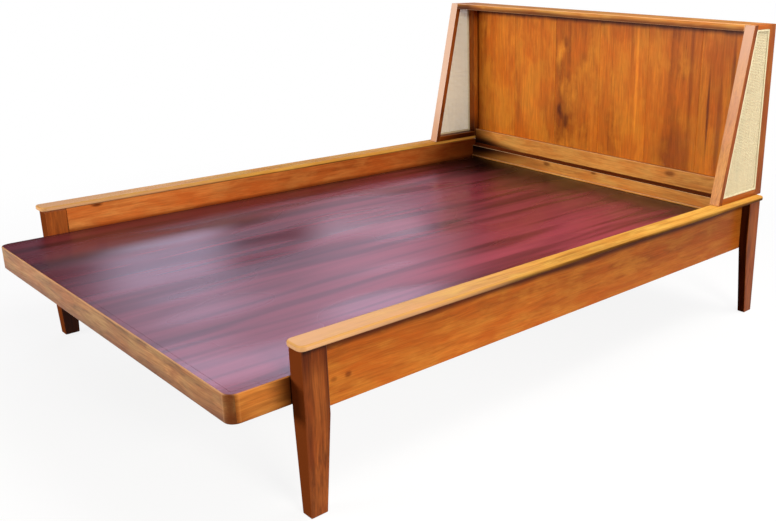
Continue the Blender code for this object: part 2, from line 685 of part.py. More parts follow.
clear_scene()
PARTS = new_collection("cane_bed")
CUTTERS = new_collection("cane_bed_cutters")
RAIL_WOOD = finish("rail wood", "B5651D", 0.35)
LEG_WOOD = finish("leg wood", "9A4A20", 0.35)
CAP_WOOD = finish("cap wood", "DFA04C", 0.3)
EDGE_WOOD = finish("deck edge wood", "C08A58", 0.4)
WING_WOOD = finish("headboard frame wood", "C88238", 0.35)
PANEL_WOOD = finish("headboard board wood", "C87028", 0.35)
MAHOGANY = finish("stained mahogany veneer", "6A2A2A", 0.15)
CANE = finish("woven cane", "DDD0A0", 0.7)
PINE = finish("unfinished pine", "D8B888", 0.7)
BEECH = finish("beech dowel", "D9B68A", 0.6)
STEEL = finish("zinc plated steel", "B0B0B0", 0.35, 1.0)
make_legs()
make_sides()
make_cross_rails()
make_cleats()
make_deck()
make_wings()
make_headboard()
make_frame_tenons()
make_wing_tenons()
make_bottom_rail_lap()
make_headboard_tenons()
make_dowels()
make_screws()
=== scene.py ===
"""Cane bed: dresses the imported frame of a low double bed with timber, lacquered veneer and woven cane.

The timber pieces are modelled over their CAD nodes, the cane is woven strand by strand, and a plain studio is
set around them. Lengths are in metres. X runs across the bed, Y from foot to head and Z up.
"""

import math

import bmesh
import bpy
from bpy.props import FloatProperty, FloatVectorProperty, PointerProperty
from mathutils import Matrix, Vector


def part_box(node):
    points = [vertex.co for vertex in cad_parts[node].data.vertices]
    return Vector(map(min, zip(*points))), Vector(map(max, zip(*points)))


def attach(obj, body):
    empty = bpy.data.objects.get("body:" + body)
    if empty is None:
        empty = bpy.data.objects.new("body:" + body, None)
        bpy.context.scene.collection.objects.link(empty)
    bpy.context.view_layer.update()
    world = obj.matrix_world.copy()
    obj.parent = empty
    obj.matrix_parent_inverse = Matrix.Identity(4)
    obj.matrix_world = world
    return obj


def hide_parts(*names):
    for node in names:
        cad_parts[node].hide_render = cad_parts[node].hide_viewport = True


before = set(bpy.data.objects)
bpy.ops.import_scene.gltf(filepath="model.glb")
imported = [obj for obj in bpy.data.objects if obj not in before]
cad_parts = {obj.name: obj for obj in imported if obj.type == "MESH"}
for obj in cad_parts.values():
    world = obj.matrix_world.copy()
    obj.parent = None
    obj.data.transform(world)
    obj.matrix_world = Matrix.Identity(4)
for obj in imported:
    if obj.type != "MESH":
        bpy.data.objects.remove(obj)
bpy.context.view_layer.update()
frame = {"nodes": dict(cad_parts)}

bl_info = {
    "name": "Cane bed",
    "version": (1, 0, 0),
    "blender": (4, 5, 0),
    "location": "View3D > Sidebar > Cane bed",
    "description": "Models the timber, veneer and woven cane of a low double bed over its packed frame",
    "category": "Object",
}

# Small measures that the pieces share
JOINT = 0.0003  # glue line between two pieces
NEAR = 0.0002  # how close to a plane a point counts as on it
WELD = 0.00001  # how close two points are merged into one
CORNER = 0.5  # an edge that turns by more radians than this is a corner of the timber
SQUARE = 1.2  # an edge that turns by more radians than this is a square corner
ONE_JOINT = 0.05  # corners of two pieces that are closer than this belong to one joint
SENSOR = 36  # width of the camera's sensor in millimetres
FRAMING = (-0.196, -0.0162)  # how far the photograph's frame is shifted, as shares of its width

# Knots, streaks, stains and patches of painted light and shade: the centre, the reach along X, Y and Z, and
# how dark or pale the middle is
RAIL_KNOTS_AND_SHADE = (
    ((0.709, -0.705, 0.303), (0.05, 0.010, 0.008), 0.45),
    ((0.709, -0.742, 0.303), (0.05, 0.009, 0.007), 0.65),
    ((-0.690, -0.680, 0.410), (0.05, 0.020, 0.010), 0.2),
    # Painted shade: the left rail darker towards the head-left corner
    ((-0.695, 0.940, 0.390), (0.06, 1.300, 0.110), 0.7),
    ((-0.695, 0.950, 0.390), (0.06, 0.300, 0.110), 0.3),
    # Painted shade: the left wing's bottom rail darker near the head-left corner
    ((-0.690, 0.860, 0.435), (0.05, 0.140, 0.030), 0.3),
    # Painted light: the left rail paler towards the foot, standing in for its sheen
    ((-0.690, -0.500, 0.370), (0.05, 0.600, 0.150), 1.1),
    # The right wing's rear stile darker on its outer face
    ((0.724, 0.965, 0.700), (0.02, 0.040, 0.600), 0.6),
    # Painted shade: a dark line along the foot of the left rail, where it meets the deck
    ((-0.690, 0.000, 0.332), (0.05, 3.000, 0.014), 0.4),
    # Painted shade: the right rail darker towards the head and under its cap
    ((0.709, 0.850, 0.410), (0.05, 0.900, 0.200), 0.75),
    # Painted shadow: a dark line under the right cap's overhang
    ((0.709, 0.000, 0.394), (0.05, 2.500, 0.018), 0.15),
)
# Painted shade: the left foot leg darker low down, under the deck
TOE_SHADE = ((-0.700, -0.800, 0.130), (0.10, 0.100, 0.200), 0.3)
LEG_STREAKS_AND_SHADE = (
    # Painted shade: the top of the right foot leg darker under its cap, with a dark line right under it
    ((0.741, -0.800, 0.415), (0.08, 0.100, 0.070), 0.5),
    ((0.741, -0.800, 0.412), (0.08, 0.200, 0.014), 0.12),
    # Darker along the front and rear edges of the right foot leg's outer face
    ((0.741, -0.770, 0.330), (0.08, 0.014, 0.300), 0.4),
    ((0.741, -0.830, 0.300), (0.08, 0.016, 0.300), 0.6),
    TOE_SHADE,
)
# Painted shade on the legs' fronts: the left foot leg low down, and the right head leg that the rail shades
LEG_FRONT_SHADE = (TOE_SHADE, ((0.725, 0.900, 0.200), (0.10, 0.100, 0.500), 0.5))
CAP_SHADE_AND_TONE = (
    # Painted shade: the right cap's outer edge darker low down
    ((0.757, 0.350, 0.412), (0.014, 1.300, 0.018), 0.15),
    # Darker towards the head of the left cap
    ((-0.720, 0.500, 0.420), (0.100, 1.100, 0.100), 0.88),
    # Painted shade: all the caps darker along their lower edges
    ((0.000, 0.000, 0.407), (3.000, 3.000, 0.008), 0.3),
)
EDGE_SHADE_AND_TONE = (
    # Painted shadow of the right foot leg on the right lipping
    ((0.686, -0.820, 0.300), (0.05, 0.060, 0.120), 0.08),
    # The foot lipping darker along its bottom
    ((0.000, -0.976, 0.266), (3.00, 0.050, 0.030), 0.6),
)
# On the boards only X and Z matter: the centre's, then the reach along them, and the depth
BOARD_KNOTS_AND_SHADE = tuple(((x, 0.959, z), (wide, 0.05, tall), depth) for x, z, wide, tall, depth in (
    (-0.203, 0.600, 0.016, 0.026, 0.38),
    (-0.190, 0.575, 0.014, 0.018, 0.6),
    (-0.164, 0.557, 0.015, 0.032, 0.42),
    (-0.185, 0.580, 0.050, 0.090, 0.7),
    (-0.176, 0.863, 0.014, 0.024, 0.6),
    (-0.205, 0.826, 0.026, 0.044, 1.5),
    (0.180, 0.740, 0.008, 0.210, 1.3),
    (0.498, 0.670, 0.006, 0.150, 0.3),
    (0.420, 0.790, 0.009, 0.240, 0.6),
    (0.545, 0.640, 0.012, 0.220, 0.55),
    (0.590, 0.800, 0.008, 0.200, 0.5),
    (0.635, 0.600, 0.012, 0.220, 0.5),
    # Painted shade: the leftmost board darker beside the left wing
    (-0.690, 0.720, 0.015, 0.500, 0.12),
    # Painted shadow: a dark line along the boards right under the top board
    (0.000, 0.962, 3.000, 0.020, 0.12),
    (0.350, 0.500, 0.090, 0.130, 0.7),
))
FRAME_KNOTS_AND_SHADE = (
    ((0.363, 0.944, 0.436), (0.024, 0.05, 0.012), 0.45),
    ((-0.240, 0.930, 0.373), (0.022, 0.05, 0.009), 0.4),
    ((0.012, 0.930, 0.378), (0.016, 0.05, 0.006), 0.4),
    # Painted shade: the left ends of the bottom rail and head rail darker in the head-left corner, with a
    # dark gap line
    ((-0.700, 0.940, 0.390), (0.150, 0.06, 0.070), 0.1),
    ((-0.640, 0.936, 0.390), (0.240, 0.03, 0.030), 0.08),
    ((-0.550, 0.930, 0.370), (0.300, 0.02, 0.040), 0.5),
    # Painted shade: a dark band along the lower edge of the top board's front
    ((0.000, 0.846, 0.967), (3.000, 0.05, 0.015), 0.25),
    # The top board's front darker at its left end
    ((-0.650, 0.846, 0.976), (0.080, 0.05, 0.020), 0.35),
)
# On the deck only X and Y matter, and all are painted: light on the right side, and shade in the head-left
# corner, along the head, along the left side and towards the foot-left corner
DECK_LIGHT_AND_SHADE = tuple(((x, y, 0.336), (wide, long, 0.2), depth) for x, y, wide, long, depth in (
    (0.680, 0.400, 0.400, 0.800, 1.55),
    (-0.750, 0.960, 0.850, 0.450, 0.03),
    (0.000, 0.960, 1.600, 0.170, 0.12),
    (-0.705, 0.000, 0.035, 3.000, 0.3),
    (-0.710, 0.200, 0.080, 1.200, 0.4),
    (-0.750, -0.950, 1.200, 1.300, 0.5),
))


def linear(hex_colour):
    """An sRGB hex colour as linear red, green and blue."""
    channels = [int(hex_colour[i:i + 2], 16) / 255 for i in (0, 2, 4)]
    return tuple(c / 12.92 if c <= 0.04045 else ((c + 0.055) / 1.055) ** 2.4 for c in channels)


def length(name, description, default):
    """A property that holds a length in metres."""
    return FloatProperty(
        name=name, description=description, default=default, min=0, precision=4, unit="LENGTH"
    )


def power(name, description, watts):
    """A property that holds the power of a lamp."""
    return FloatProperty(name=name, description=description, default=watts, min=0, unit="POWER")


def angle(name, description, degrees):
    """A property that holds an angle, from its value in degrees."""
    return FloatProperty(
        name=name, description=description, default=math.radians(degrees), subtype="ANGLE"
    )


def colour(name, description, hex_colour):
    """A property that holds a colour, from its sRGB hex value."""
    return FloatVectorProperty(
        name=name, description=description, default=linear(hex_colour), size=3, min=0, max=1, subtype="COLOR"
    )


class BedSizes(bpy.types.PropertyGroup):
    """Sizes that shape the visible pieces."""

    arris: length("Arris", "Rounding along the edges of planed timber", 0.0015)
    leg_arris: length("Leg arris", "Rounding along the edges of the legs", 0.003)
    foot_toe_width: length("Foot toe width", "Width of a foot leg where it stands", 0.036)
    foot_toe_front: length("Foot toe front", "How far a foot leg tapers in at its front", 0.007)
    foot_toe_rear: length("Foot toe rear", "How far a foot leg tapers in at its rear", 0.012)
    head_toe_width: length("Head toe width", "Width of a head leg where it stands", 0.028)
    head_toe_front: length("Head toe front", "How far a head leg's front rakes back at the floor", 0.044)
    head_toe_rear: length("Head toe rear", "How far a head leg's rear rakes back at the floor", 0.025)
    head_leg_width: length("Head leg width", "Width of a head leg beside its rail", 0.032)
    head_leg_depth: length("Head leg depth", "Depth of a head leg beside its rail", 0.062)
    cap_corner: length("Cap corner", "Radius of a side cap's corners, seen from above", 0.016)
    cap_round: length("Cap round", "Rounding along a side cap's edges", 0.004)
    deck_corner: length("Deck corner", "Radius of the deck's foot corners, seen from above", 0.026)
    deck_arris: length("Deck arris", "Rounding along the deck's outer edges", 0.0025)
    stile_depth: length("Stile depth", "Depth of a wing's sloping front stile", 0.020)
    shadow_line: length("Shadow line", "Gap between the head rail and the headboard's bottom rail", 0.004)
    rebate_depth: length("Rebate depth", "Depth of the dark rebate along the top of the head rail", 0.012)
    rebate_height: length("Rebate height", "Height of the dark rebate along the top of the head rail", 0.010)
    board_arris: length("Board arris", "Chamfer where two headboard boards meet", 0.0007)
    cane_warp: length("Cane warp", "Spacing of the upright cane strands", 0.0045)
    cane_weft: length("Cane weft", "Spacing of the level cane strands", 0.0050)
    warp_width: length("Warp width", "Width of an upright cane strand", 0.0023)
    weft_width: length("Weft width", "Width of a level cane strand", 0.0025)
    cane_thickness: length("Cane thickness", "Thickness of a cane strand", 0.0007)
    cane_swing: length("Cane swing", "How far a strand passes to either side of the weave's middle", 0.00045)
    veneer_arris: length("Veneer arris", "Chamfer along the edges of the deck's veneer", 0.0004)
    top_arris: length("Top board arris", "Rounding along the edges of the headboard's top board", 0.002)
    lap_cover: length("Lap cover", "How far the headboard's lap runs behind the side rails", 0.004)
    spline_round: length("Spline round", "Rounding of the reed's outer edges", 0.0022)
    spline_width: length("Spline width", "Width of the reed that holds the cane in its groove", 0.006)


class BedColours(bpy.types.PropertyGroup):
    """Colours of the finishes."""

    rail: colour("Rails", "Orange varnish of the right side rail and the wings", "B2621F")
    # Painted light: a paler copy of the rail colour, for the sheen on the left rail's inner face
    rail_left: colour("Left rail", "Duller varnish of the left side rail", "C06C30")
    leg: colour("Legs", "Redder stain of the legs", "8C461A")
    # Painted shade: a darker copy of the leg stain, for the fronts of the legs and the head rail's rebate
    leg_front_shade: colour("Leg fronts", "Darker stain on the fronts of the legs", "52240E")
    cap: colour("Caps", "Honey varnish of the side caps", "D49C46")
    edge: colour("Deck foot edge", "Tan lipping across the foot of the deck", "A06C3A")
    edge_side: colour("Deck side edges", "Orange lipping along the sides of the deck", "BC7430")
    frame: colour("Headboard frame", "Honey varnish of the headboard's frame", "C2803A")
    # Painted light: the fronts of the wings pale upwards as they catch the light
    stile: colour("Stile fronts", "Sun-bleached varnish on the fronts of the wings", "B67636")
    board: colour("Boards", "Orange varnish of the headboard's boards", "BC6819")
    veneer: colour("Deck veneer", "Mahogany stain of the deck", "782E3A")
    cane: colour("Cane", "Natural cane", "DACFAA")
    pine: colour("Pine", "Unfinished pine under the deck", "D8B888")
    beech: colour("Beech", "Beech dowels", "D9B68A")
    zinc: colour("Zinc", "Zinc plating on the screws", "B0B0B0")
    floor: colour("Floor", "Pale studio floor, as the camera sees it", "F6F6F6")
    bounce: colour("Bounce", "Pale studio floor, as the light that it throws back", "908C88")
    card: colour("Card", "Dim cool card behind the panels, as the lacquer mirrors it", "4C525C")


class BedStage(bpy.types.PropertyGroup):
    """The studio: lamp levels in watts and the camera's place."""

    front: power("Front", "Soft lamp far in front on the left", 800)
    side: power("Side", "Soft lamp on the right", 142)
    top: power("Top", "Soft lamp overhead", 88)
    sky: FloatProperty(
        name="Sky", description="Brightness of the cool panels that the lacquer mirrors", default=3.25, min=0
    )
    ambient: FloatProperty(name="Ambient", description="Light from all around", default=0.17, min=0)
    camera: FloatVectorProperty(
        name="Camera", description="Where the camera stands", default=(2.2645, -1.7377, 1.1896),
        subtype="TRANSLATION",
    )
    turn: angle("Turn", "Heading of the view", 43.51)
    tilt: angle("Tilt", "How far the view looks down", 17.85)
    roll: angle("Roll", "Roll of the camera", 1.02)
    lens: FloatProperty(name="Lens", description="Focal length", default=42.3, unit="CAMERA")


# Modelling


def select_only(piece):
    """Selects one piece and makes it active."""
    bpy.ops.object.select_all(action="DESELECT")
    piece.select_set(True)
    bpy.context.view_layer.objects.active = piece


def blank(name, low, high):
    """A squared blank between two corners."""
    low, high = Vector(low), Vector(high)
    bpy.ops.object.select_all(action="DESELECT")
    bpy.ops.mesh.primitive_cube_add(size=1, location=(low + high) / 2, scale=high - low)
    bpy.ops.object.transform_apply(location=True, rotation=True, scale=True)
    piece = bpy.context.object
    piece.name = piece.data.name = name
    return piece


def middle(part):
    """The middle of a point, edge or face."""
    if isinstance(part, bmesh.types.BMVert):
        return part.co.copy()
    return sum((point.co for point in part.verts), Vector()) / len(part.verts)


def runs(edge, axis):
    """Whether an edge runs along an axis."""
    step = edge.verts[1].co - edge.verts[0].co
    return abs(step[axis]) > 0.999 * step.length


def pick(piece, kind, test):
    """Goes into edit mode and selects the points, edges or faces of a piece that pass a test."""
    select_only(piece)
    bpy.ops.object.mode_set(mode="EDIT")
    bpy.ops.mesh.select_mode(type=kind)
    bpy.ops.mesh.select_all(action="DESELECT")
    shape = bmesh.from_edit_mesh(piece.data)
    parts = {"VERT": shape.verts, "EDGE": shape.edges, "FACE": shape.faces}[kind]
    for part in [part for part in parts if test(part)]:
        part.select_set(True)
    bmesh.update_edit_mesh(piece.data)


def leave():
    """Goes back to object mode."""
    bpy.ops.object.mode_set(mode="OBJECT")


def slide(piece, test, offset):
    """Moves the points that pass a test."""
    pick(piece, "VERT", test)
    bpy.ops.transform.translate(value=offset)
    leave()


def round_edges(piece, width, segments, test=lambda edge: True):
    """Rounds the edges that pass a test, and marks the new faces as arris, where the finish wears.

    Edges that look up get the most, upright ones half as much, and those underneath none. The tone is partly
    wear and dark joints, and partly painted shading: a highlight where the edge tone is paler, and shade
    where it is darker.
    """
    pick(piece, "EDGE", test)
    bpy.ops.mesh.bevel(offset=width, segments=segments, profile=0.5, affect="EDGES")
    shape = bmesh.from_edit_mesh(piece.data)
    mark = shape.faces.layers.float.get("arris") or shape.faces.layers.float.new("arris")
    for face in shape.faces:
        narrow = face.calc_area() < 1.2 * width * max(edge.calc_length() for edge in face.edges)
        if face.select and narrow:
            # Painted highlight and wear: edges that look up are marked most
            face[mark] = 1 if face.normal.z > 0.15 else 0.5 if face.normal.z > -0.15 else 0
    bmesh.update_edit_mesh(piece.data)
    leave()


def cut(piece, place, outward, keep_all=False):
    """Cuts a piece through at a plane, and takes off what lies outward of it."""
    pick(piece, "FACE", lambda face: True)
    bpy.ops.mesh.bisect(
        plane_co=place, plane_no=outward, use_fill=not keep_all, clear_outer=not keep_all, threshold=0.000001
    )
    leave()


def combine(piece, low, high, operation):
    """Takes a squared notch out of a piece with DIFFERENCE, or joins a squared part on with UNION."""
    other = blank("other", low, high)
    select_only(piece)
    step = piece.modifiers.new("combine", "BOOLEAN")
    step.object = other
    step.operation = operation
    step.solver = "EXACT"
    bpy.ops.object.modifier_apply(modifier=step.name)
    bpy.data.meshes.remove(other.data)


def copied(piece, name, offset=(0, 0, 0)):
    """A copy of a piece with its own mesh."""
    select_only(piece)
    bpy.ops.object.duplicate()
    made = bpy.context.object
    made.name = made.data.name = name
    made.data.transform(Matrix.Translation(offset))
    return made


def both_sides(piece):
    """A piece for the right of the bed and its mirrored twin, each with the word for its side."""
    twin = copied(piece, piece.name.replace("_right_", "_left_"))
    twin.data.transform(Matrix.Diagonal((-1, 1, 1, 1)))
    twin.data.flip_normals()
    return (piece, "right"), (twin, "left")


def lay_grain(piece, along, log):
    """Stores each point's place along and across the log that a timber was sawn from.

    The first number runs along the grain, and log tells one tree from another.
    """
    axes = {"X": (0, 1, 2), "Y": (1, 0, 2), "Z": (2, 0, 1)}[along]
    start = (1.7 * log, 0.13 + 0.61 * log % 0.37, 0.05 + 0.83 * log % 0.29)
    stored = piece.data.attributes.get("grain") or piece.data.attributes.new("grain", "FLOAT_VECTOR", "POINT")
    for point, vertex in zip(stored.data, piece.data.vertices):
        point.vector = [vertex.co[axis] + shift for axis, shift in zip(axes, start)]


def hand_over(piece, nodes, slot, *finishes):
    """Gives a piece smooth faces, its finishes by name, and the place of its CAD nodes on the frame."""
    select_only(piece)
    bpy.ops.object.shade_smooth_by_angle(angle=math.radians(35))
    level = piece.modifiers.new("level", "WEIGHTED_NORMAL")
    level.keep_sharp = True
    bpy.ops.object.modifier_apply(modifier=level.name)
    piece.data.materials.clear()
    for finish in finishes:
        piece.data.materials.append(finish_of(bpy.context, finish))
    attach(piece, "root")
    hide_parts(*nodes)


# Materials


def add(tree, kind, inputs=(), out=0, stops=(), **settings):
    """Adds a node with its settings, and gives the socket that comes out of it.

    Inputs are values or sockets to link, in the node's own order or by name. A MapRange takes its value, the
    two ends of the range that it comes from and the two of the range that it goes to. Stops are the places
    and colours of a ramp.
    """
    made = tree.nodes.new(f"ShaderNode{kind}")
    for field, value in settings.items():
        setattr(made, field, value)
    for socket, value in inputs.items() if isinstance(inputs, dict) else enumerate(inputs):
        if isinstance(value, bpy.types.NodeSocket):
            tree.links.new(value, made.inputs[socket])
        else:
            made.inputs[socket].default_value = value
    if stops:
        elements = made.color_ramp.elements
        while len(elements) < len(stops):
            elements.new(1)
        for element, (place, tone) in zip(elements, stops):
            element.position, element.color = place, (*tone, 1)
    return made.outputs[out] if len(made.outputs) else None


def new_finish(name, **sockets):
    """An empty material with its shader's sockets set, and its node tree and shader."""
    made = bpy.data.materials.new(name)
    made.use_nodes = True
    shader = made.node_tree.nodes["Principled BSDF"]
    for socket, value in sockets.items():
        shader.inputs[socket.replace("_", " ")].default_value = value
    return made, made.node_tree, shader


def connect(tree, shader, **sockets):
    """Links what a finish has worked out to the sockets of its shader."""
    for socket, value in sockets.items():
        tree.links.new(value, shader.inputs[socket.replace("_", " ")])


def toned(base, value, warmth=0.0):
    """A colour made lighter or darker, and redder where warmth is above zero."""
    red, green, blue = (min(1, channel * value) for channel in base)
    return red, green * (1 - 0.35 * warmth), blue * (1 - 0.6 * warmth)


def patches(tree, place, sizes, detail, roughness=0.5, out="Fac"):
    """A noise whose patches have the given sizes along X, Y and Z."""
    spread = add(tree, "Mapping", {"Vector": place, "Scale": [1 / size for size in sizes]})
    inputs = {"Vector": spread, "Scale": 1, "Detail": detail, "Roughness": roughness}
    return add(tree, "TexNoise", inputs, out)


def spot(tree, place, waver, centre, reach):
    """How much of a knot, stain or patch of painted light or shade there is at a place. Its outline wanders.
    """
    offset = add(tree, "VectorMath", [place, centre], operation="SUBTRACT")
    scaled = add(tree, "VectorMath", [offset, [1 / size for size in reach]], operation="MULTIPLY")
    wander = add(tree, "VectorMath", [waver, (0.9, 0.9, 0.9), scaled], operation="MULTIPLY_ADD")
    still = add(tree, "VectorMath", [wander, (0.45, 0.45, 0.45)], operation="SUBTRACT")
    away = add(tree, "VectorMath", [still], "Value", operation="LENGTH")
    return add(tree, "MapRange", [away, 0.35, 1.3, 0.95, 0], interpolation_type="SMOOTHSTEP")


def spotted(tree, skin, place, waver, spots, green, blue):
    """A colour with each knot, stain and patch of painted light or shade laid on it, redder the darker it is,
    by powers for green and blue.
    """
    for centre, reach, depth in spots:
        amount = spot(tree, place, waver, centre, reach)
        tint = (depth, depth ** green, depth ** blue, 1)
        skin = add(tree, "Mix", {0: amount, 6: skin, 7: tint}, 2, data_type="RGBA", blend_type="MULTIPLY")
    return skin


def brightened(tree, skin, place, blotch, axis, start, end, bleach):
    """A colour that pales unevenly along an axis, from where it starts to where it is strongest: painted
    light and shade, standing in for how the light falls.
    """
    reach = end - start
    along = add(tree, "SeparateXYZ", [place], axis)
    uneven = add(tree, "Math", [blotch, 0.5 * reach, along], operation="MULTIPLY_ADD")
    amount = add(
        tree, "MapRange",
        {"Value": uneven, "From Min": start + 0.25 * reach, "From Max": end + 0.25 * reach, "To Max": 0.85},
    )
    return add(tree, "Mix", {0: amount, 6: skin, 7: (*linear(bleach), 1)}, 2, data_type="RGBA")


def timber(
    name, base, contrast=1.0, coarse=1.0, mottle=0.6, gloss=0.05, roughness=0.36, shine=0.08, knots_and_shade=(),
    painted_brightening=None, wear_and_edge_shading="E8B880",
):
    """Varnished softwood: long streaks of early and late wood, fine fibres, knots and blotchy old varnish.

    The bands are about 70 mm wide and 1.2 m long, the streaks 12 by 350 mm, the fibres 3 by 80 mm and the
    blotches 45 by 130 mm, and coarse widens them. Real fibres are finer than a millimetre and wouldn't
    show, so they are drawn as coarse as the render needs. A knot, stain or patch of painted shade darkens
    the wood, and one whose depth is above one pales it, as a pale streak or as painted light. The painted
    brightening gives an axis, where it starts and ends, and the colour that the wood pales to as painted
    light and shade. The edges take a tone that is partly wear and partly painted shading, and the rounded
    corners of the deck's lippings get painted shade.
    """
    finish, tree, shader = new_finish(
        name, Coat_Weight=gloss, Coat_Roughness=0.2, IOR=1.5, Specular_IOR_Level=shine
    )
    place = add(tree, "TexCoord", out="Object")
    log = add(tree, "Attribute", out="Vector", attribute_name="grain")
    arris = add(tree, "Attribute", out="Fac", attribute_name="arris")
    end = add(tree, "Attribute", out="Fac", attribute_name="end_grain")
    waver = patches(tree, log, (1 / 3.2, 1 / 14, 1 / 14), 2, out="Color")
    bent = add(tree, "VectorMath", [waver, (0, 0.03, 0.03), log], operation="MULTIPLY_ADD")
    band, streak, fibre, blotch = (
        patches(tree, bent, (along, across * coarse, across * coarse), detail, 0.6)
        for along, across, detail in ((1.2, 0.07, 2), (0.35, 0.012, 4), (0.08, 0.003, 2), (0.13, 0.045, 4))
    )
    half = add(tree, "Math", [band, 0.5], operation="MULTIPLY")
    figure = add(tree, "Math", [streak, 0.5, half], operation="MULTIPLY_ADD")
    swing = 0.45 * contrast
    body = add(tree, "ValToRGB", {"Fac": figure}, stops=(
        (0.36, toned(base, 1 - swing, 0.4)),
        (0.46, toned(base, 1 - 0.3 * swing, 0.15)),
        (0.54, toned(base, 1 + 0.15 * swing)),
        (0.66, toned(base, 1 + 0.7 * swing, -0.25)),
    ))
    for most, tone in ((0.66, toned(base, 0.95, 0.55)), (0.34, toned(base, 1.08, -0.55))):
        amount = add(tree, "MapRange", [blotch, 0.5, most, 0, mottle])
        body = add(tree, "Mix", {0: amount, 6: body, 7: (*tone, 1)}, 2, data_type="RGBA")
    pores = add(tree, "MapRange", [fibre, 0.3, 0.7, 1 - 0.22 * contrast, 1.13])
    body = add(tree, "VectorMath", {0: body, "Scale": pores}, operation="SCALE")
    body = spotted(tree, body, place, waver, knots_and_shade, 1.3, 1.6)
    # Painted light and shade: the colour pales along an axis where the light falls stronger
    if painted_brightening:
        body = brightened(tree, body, place, blotch, *painted_brightening)
    # Painted shade on the rounded corners of the deck's lippings
    corner_shade_amount = add(tree, "Math", [end, 0.85], operation="MULTIPLY")
    body = add(tree, "Mix", {0: corner_shade_amount, 6: body, 7: (*linear("5A2808"), 1)}, 2, data_type="RGBA")
    # The edges' tone, partly wear and partly painted shading, left off the painted corner shade
    marked_edge = add(tree, "Math", [arris, end], operation="SUBTRACT", use_clamp=True)
    edge_wear_and_shading = add(tree, "Math", [marked_edge, 0.6], operation="MULTIPLY")
    skin = add(tree, "Mix", {0: edge_wear_and_shading, 6: body, 7: (*linear(wear_and_edge_shading), 1)}, 2, data_type="RGBA")
    sheen = add(tree, "MapRange", [fibre, 0.3, 0.7, roughness + 0.08, roughness - 0.06])
    relief = add(tree, "Bump", {"Height": fibre, "Strength": 0.25, "Distance": 0.0006})
    connect(tree, shader, Base_Color=skin, Roughness=sheen, Normal=relief)
    return finish


def mahogany_veneer(base):
    """Mahogany veneer under gloss lacquer: soft dark ribbons along the bed that show through the shine.

    The ribbons are about 40 mm wide and 600 mm long and the pores 8 mm by 300 mm, coarser than real ones
    so that they show in the render. The lacquer lies in faint waves about 140 mm wide, which follow the
    ribbons a little, and has gone dull in patches.
    """
    finish, tree, shader = new_finish("lacquered_mahogany_veneer", IOR=1.25)
    place = add(tree, "TexCoord", out="Object")
    waver = patches(tree, place, (1 / 7, 1 / 1.3, 1 / 7), 2, out="Color")
    bent = add(tree, "VectorMath", [waver, (0.05, 0, 0), place], operation="MULTIPLY_ADD")
    ribbon, pore, cloud = (
        patches(tree, bent, (across, along, 1), detail, 0.6)
        for along, across, detail in ((0.6, 0.04, 1), (0.3, 0.008, 2), (0.4, 0.14, 0))
    )
    tones = add(tree, "ValToRGB", {"Fac": ribbon}, stops=(
        (0.30, toned(base, 1.18)),
        (0.48, toned(base, 1.02)),
        (0.60, toned(base, 0.66, 0.1)),
        (0.74, toned(base, 0.42, 0.1)),
    ))
    grain = add(tree, "MapRange", [pore, 0.3, 0.7, 0.94, 1.05])
    skin = add(tree, "VectorMath", {0: tones, "Scale": grain}, operation="SCALE")
    skin = spotted(tree, skin, place, waver, DECK_LIGHT_AND_SHADE, 1.1, 1.2)
    sheen = add(tree, "MapRange", [cloud, 0.36, 0.64, 0.18, 0.32])
    uneven = add(tree, "Math", [ribbon, 0.2, cloud], operation="MULTIPLY_ADD")
    relief = add(tree, "Bump", {"Height": uneven, "Strength": 0.14, "Distance": 0.004})
    connect(tree, shader, Base_Color=skin, Roughness=sheen, Normal=relief)
    return finish


def natural_cane(base):
    """Split natural cane: a pale shiny skin with long fibres, a little darker here and there along a strand.

    The fibres are drawn 1 mm wide and 40 mm long, and the darker lengths about 90 mm.
    """
    finish, tree, shader = new_finish("natural_cane", Coat_Weight=0.1, Coat_Roughness=0.3, IOR=1.48)
    strand = add(tree, "Attribute", out="Vector", attribute_name="grain")
    fibre = patches(tree, strand, (0.04, 0.001, 0.001), 3)
    darker = patches(tree, strand, (0.09, 0.005, 0.005), 2)
    tones = add(tree, "ValToRGB", {"Fac": darker}, stops=(
        (0.3, toned(base, 0.86, 0.06)),
        (0.5, base),
        (0.72, toned(base, 1.06)),
    ))
    lines = add(tree, "MapRange", [fibre, 0.3, 0.7, 0.86, 1.06])
    skin = add(tree, "VectorMath", {0: tones, "Scale": lines}, operation="SCALE")
    sheen = add(tree, "MapRange", [fibre, 0.3, 0.7, 0.6, 0.45])
    relief = add(tree, "Bump", {"Height": fibre, "Strength": 0.2, "Distance": 0.0002})
    connect(tree, shader, Base_Color=skin, Roughness=sheen, Normal=relief)
    return finish


def beech_rod(base):
    """Turned beech: pale, with short darker flecks about 2 mm long."""
    finish, tree, shader = new_finish("turned_beech", Roughness=0.6)
    fleck = patches(tree, add(tree, "TexCoord", out="Object"), (1 / 1600, 1 / 1600, 0.002), 2)
    tones = add(tree, "ValToRGB", {"Fac": fleck}, stops=((0.4, toned(base, 0.75, 0.2)), (0.55, base)))
    connect(tree, shader, Base_Color=tones)
    return finish


def zinc_plate(base):
    """Zinc-plated steel: bright grey metal with a faint spangle about 1 mm across."""
    finish, tree, shader = new_finish("zinc_plated_steel", Metallic=1.0)
    spangle = patches(tree, add(tree, "TexCoord", out="Object"), (0.001, 0.001, 0.001), 2)
    tones = add(
        tree, "ValToRGB", {"Fac": spangle}, stops=((0.35, toned(base, 0.8)), (0.65, toned(base, 1.1)))
    )
    sheen = add(tree, "MapRange", {"Value": spangle, "To Min": 0.25, "To Max": 0.45})
    connect(tree, shader, Base_Color=tones, Roughness=sheen)
    return finish


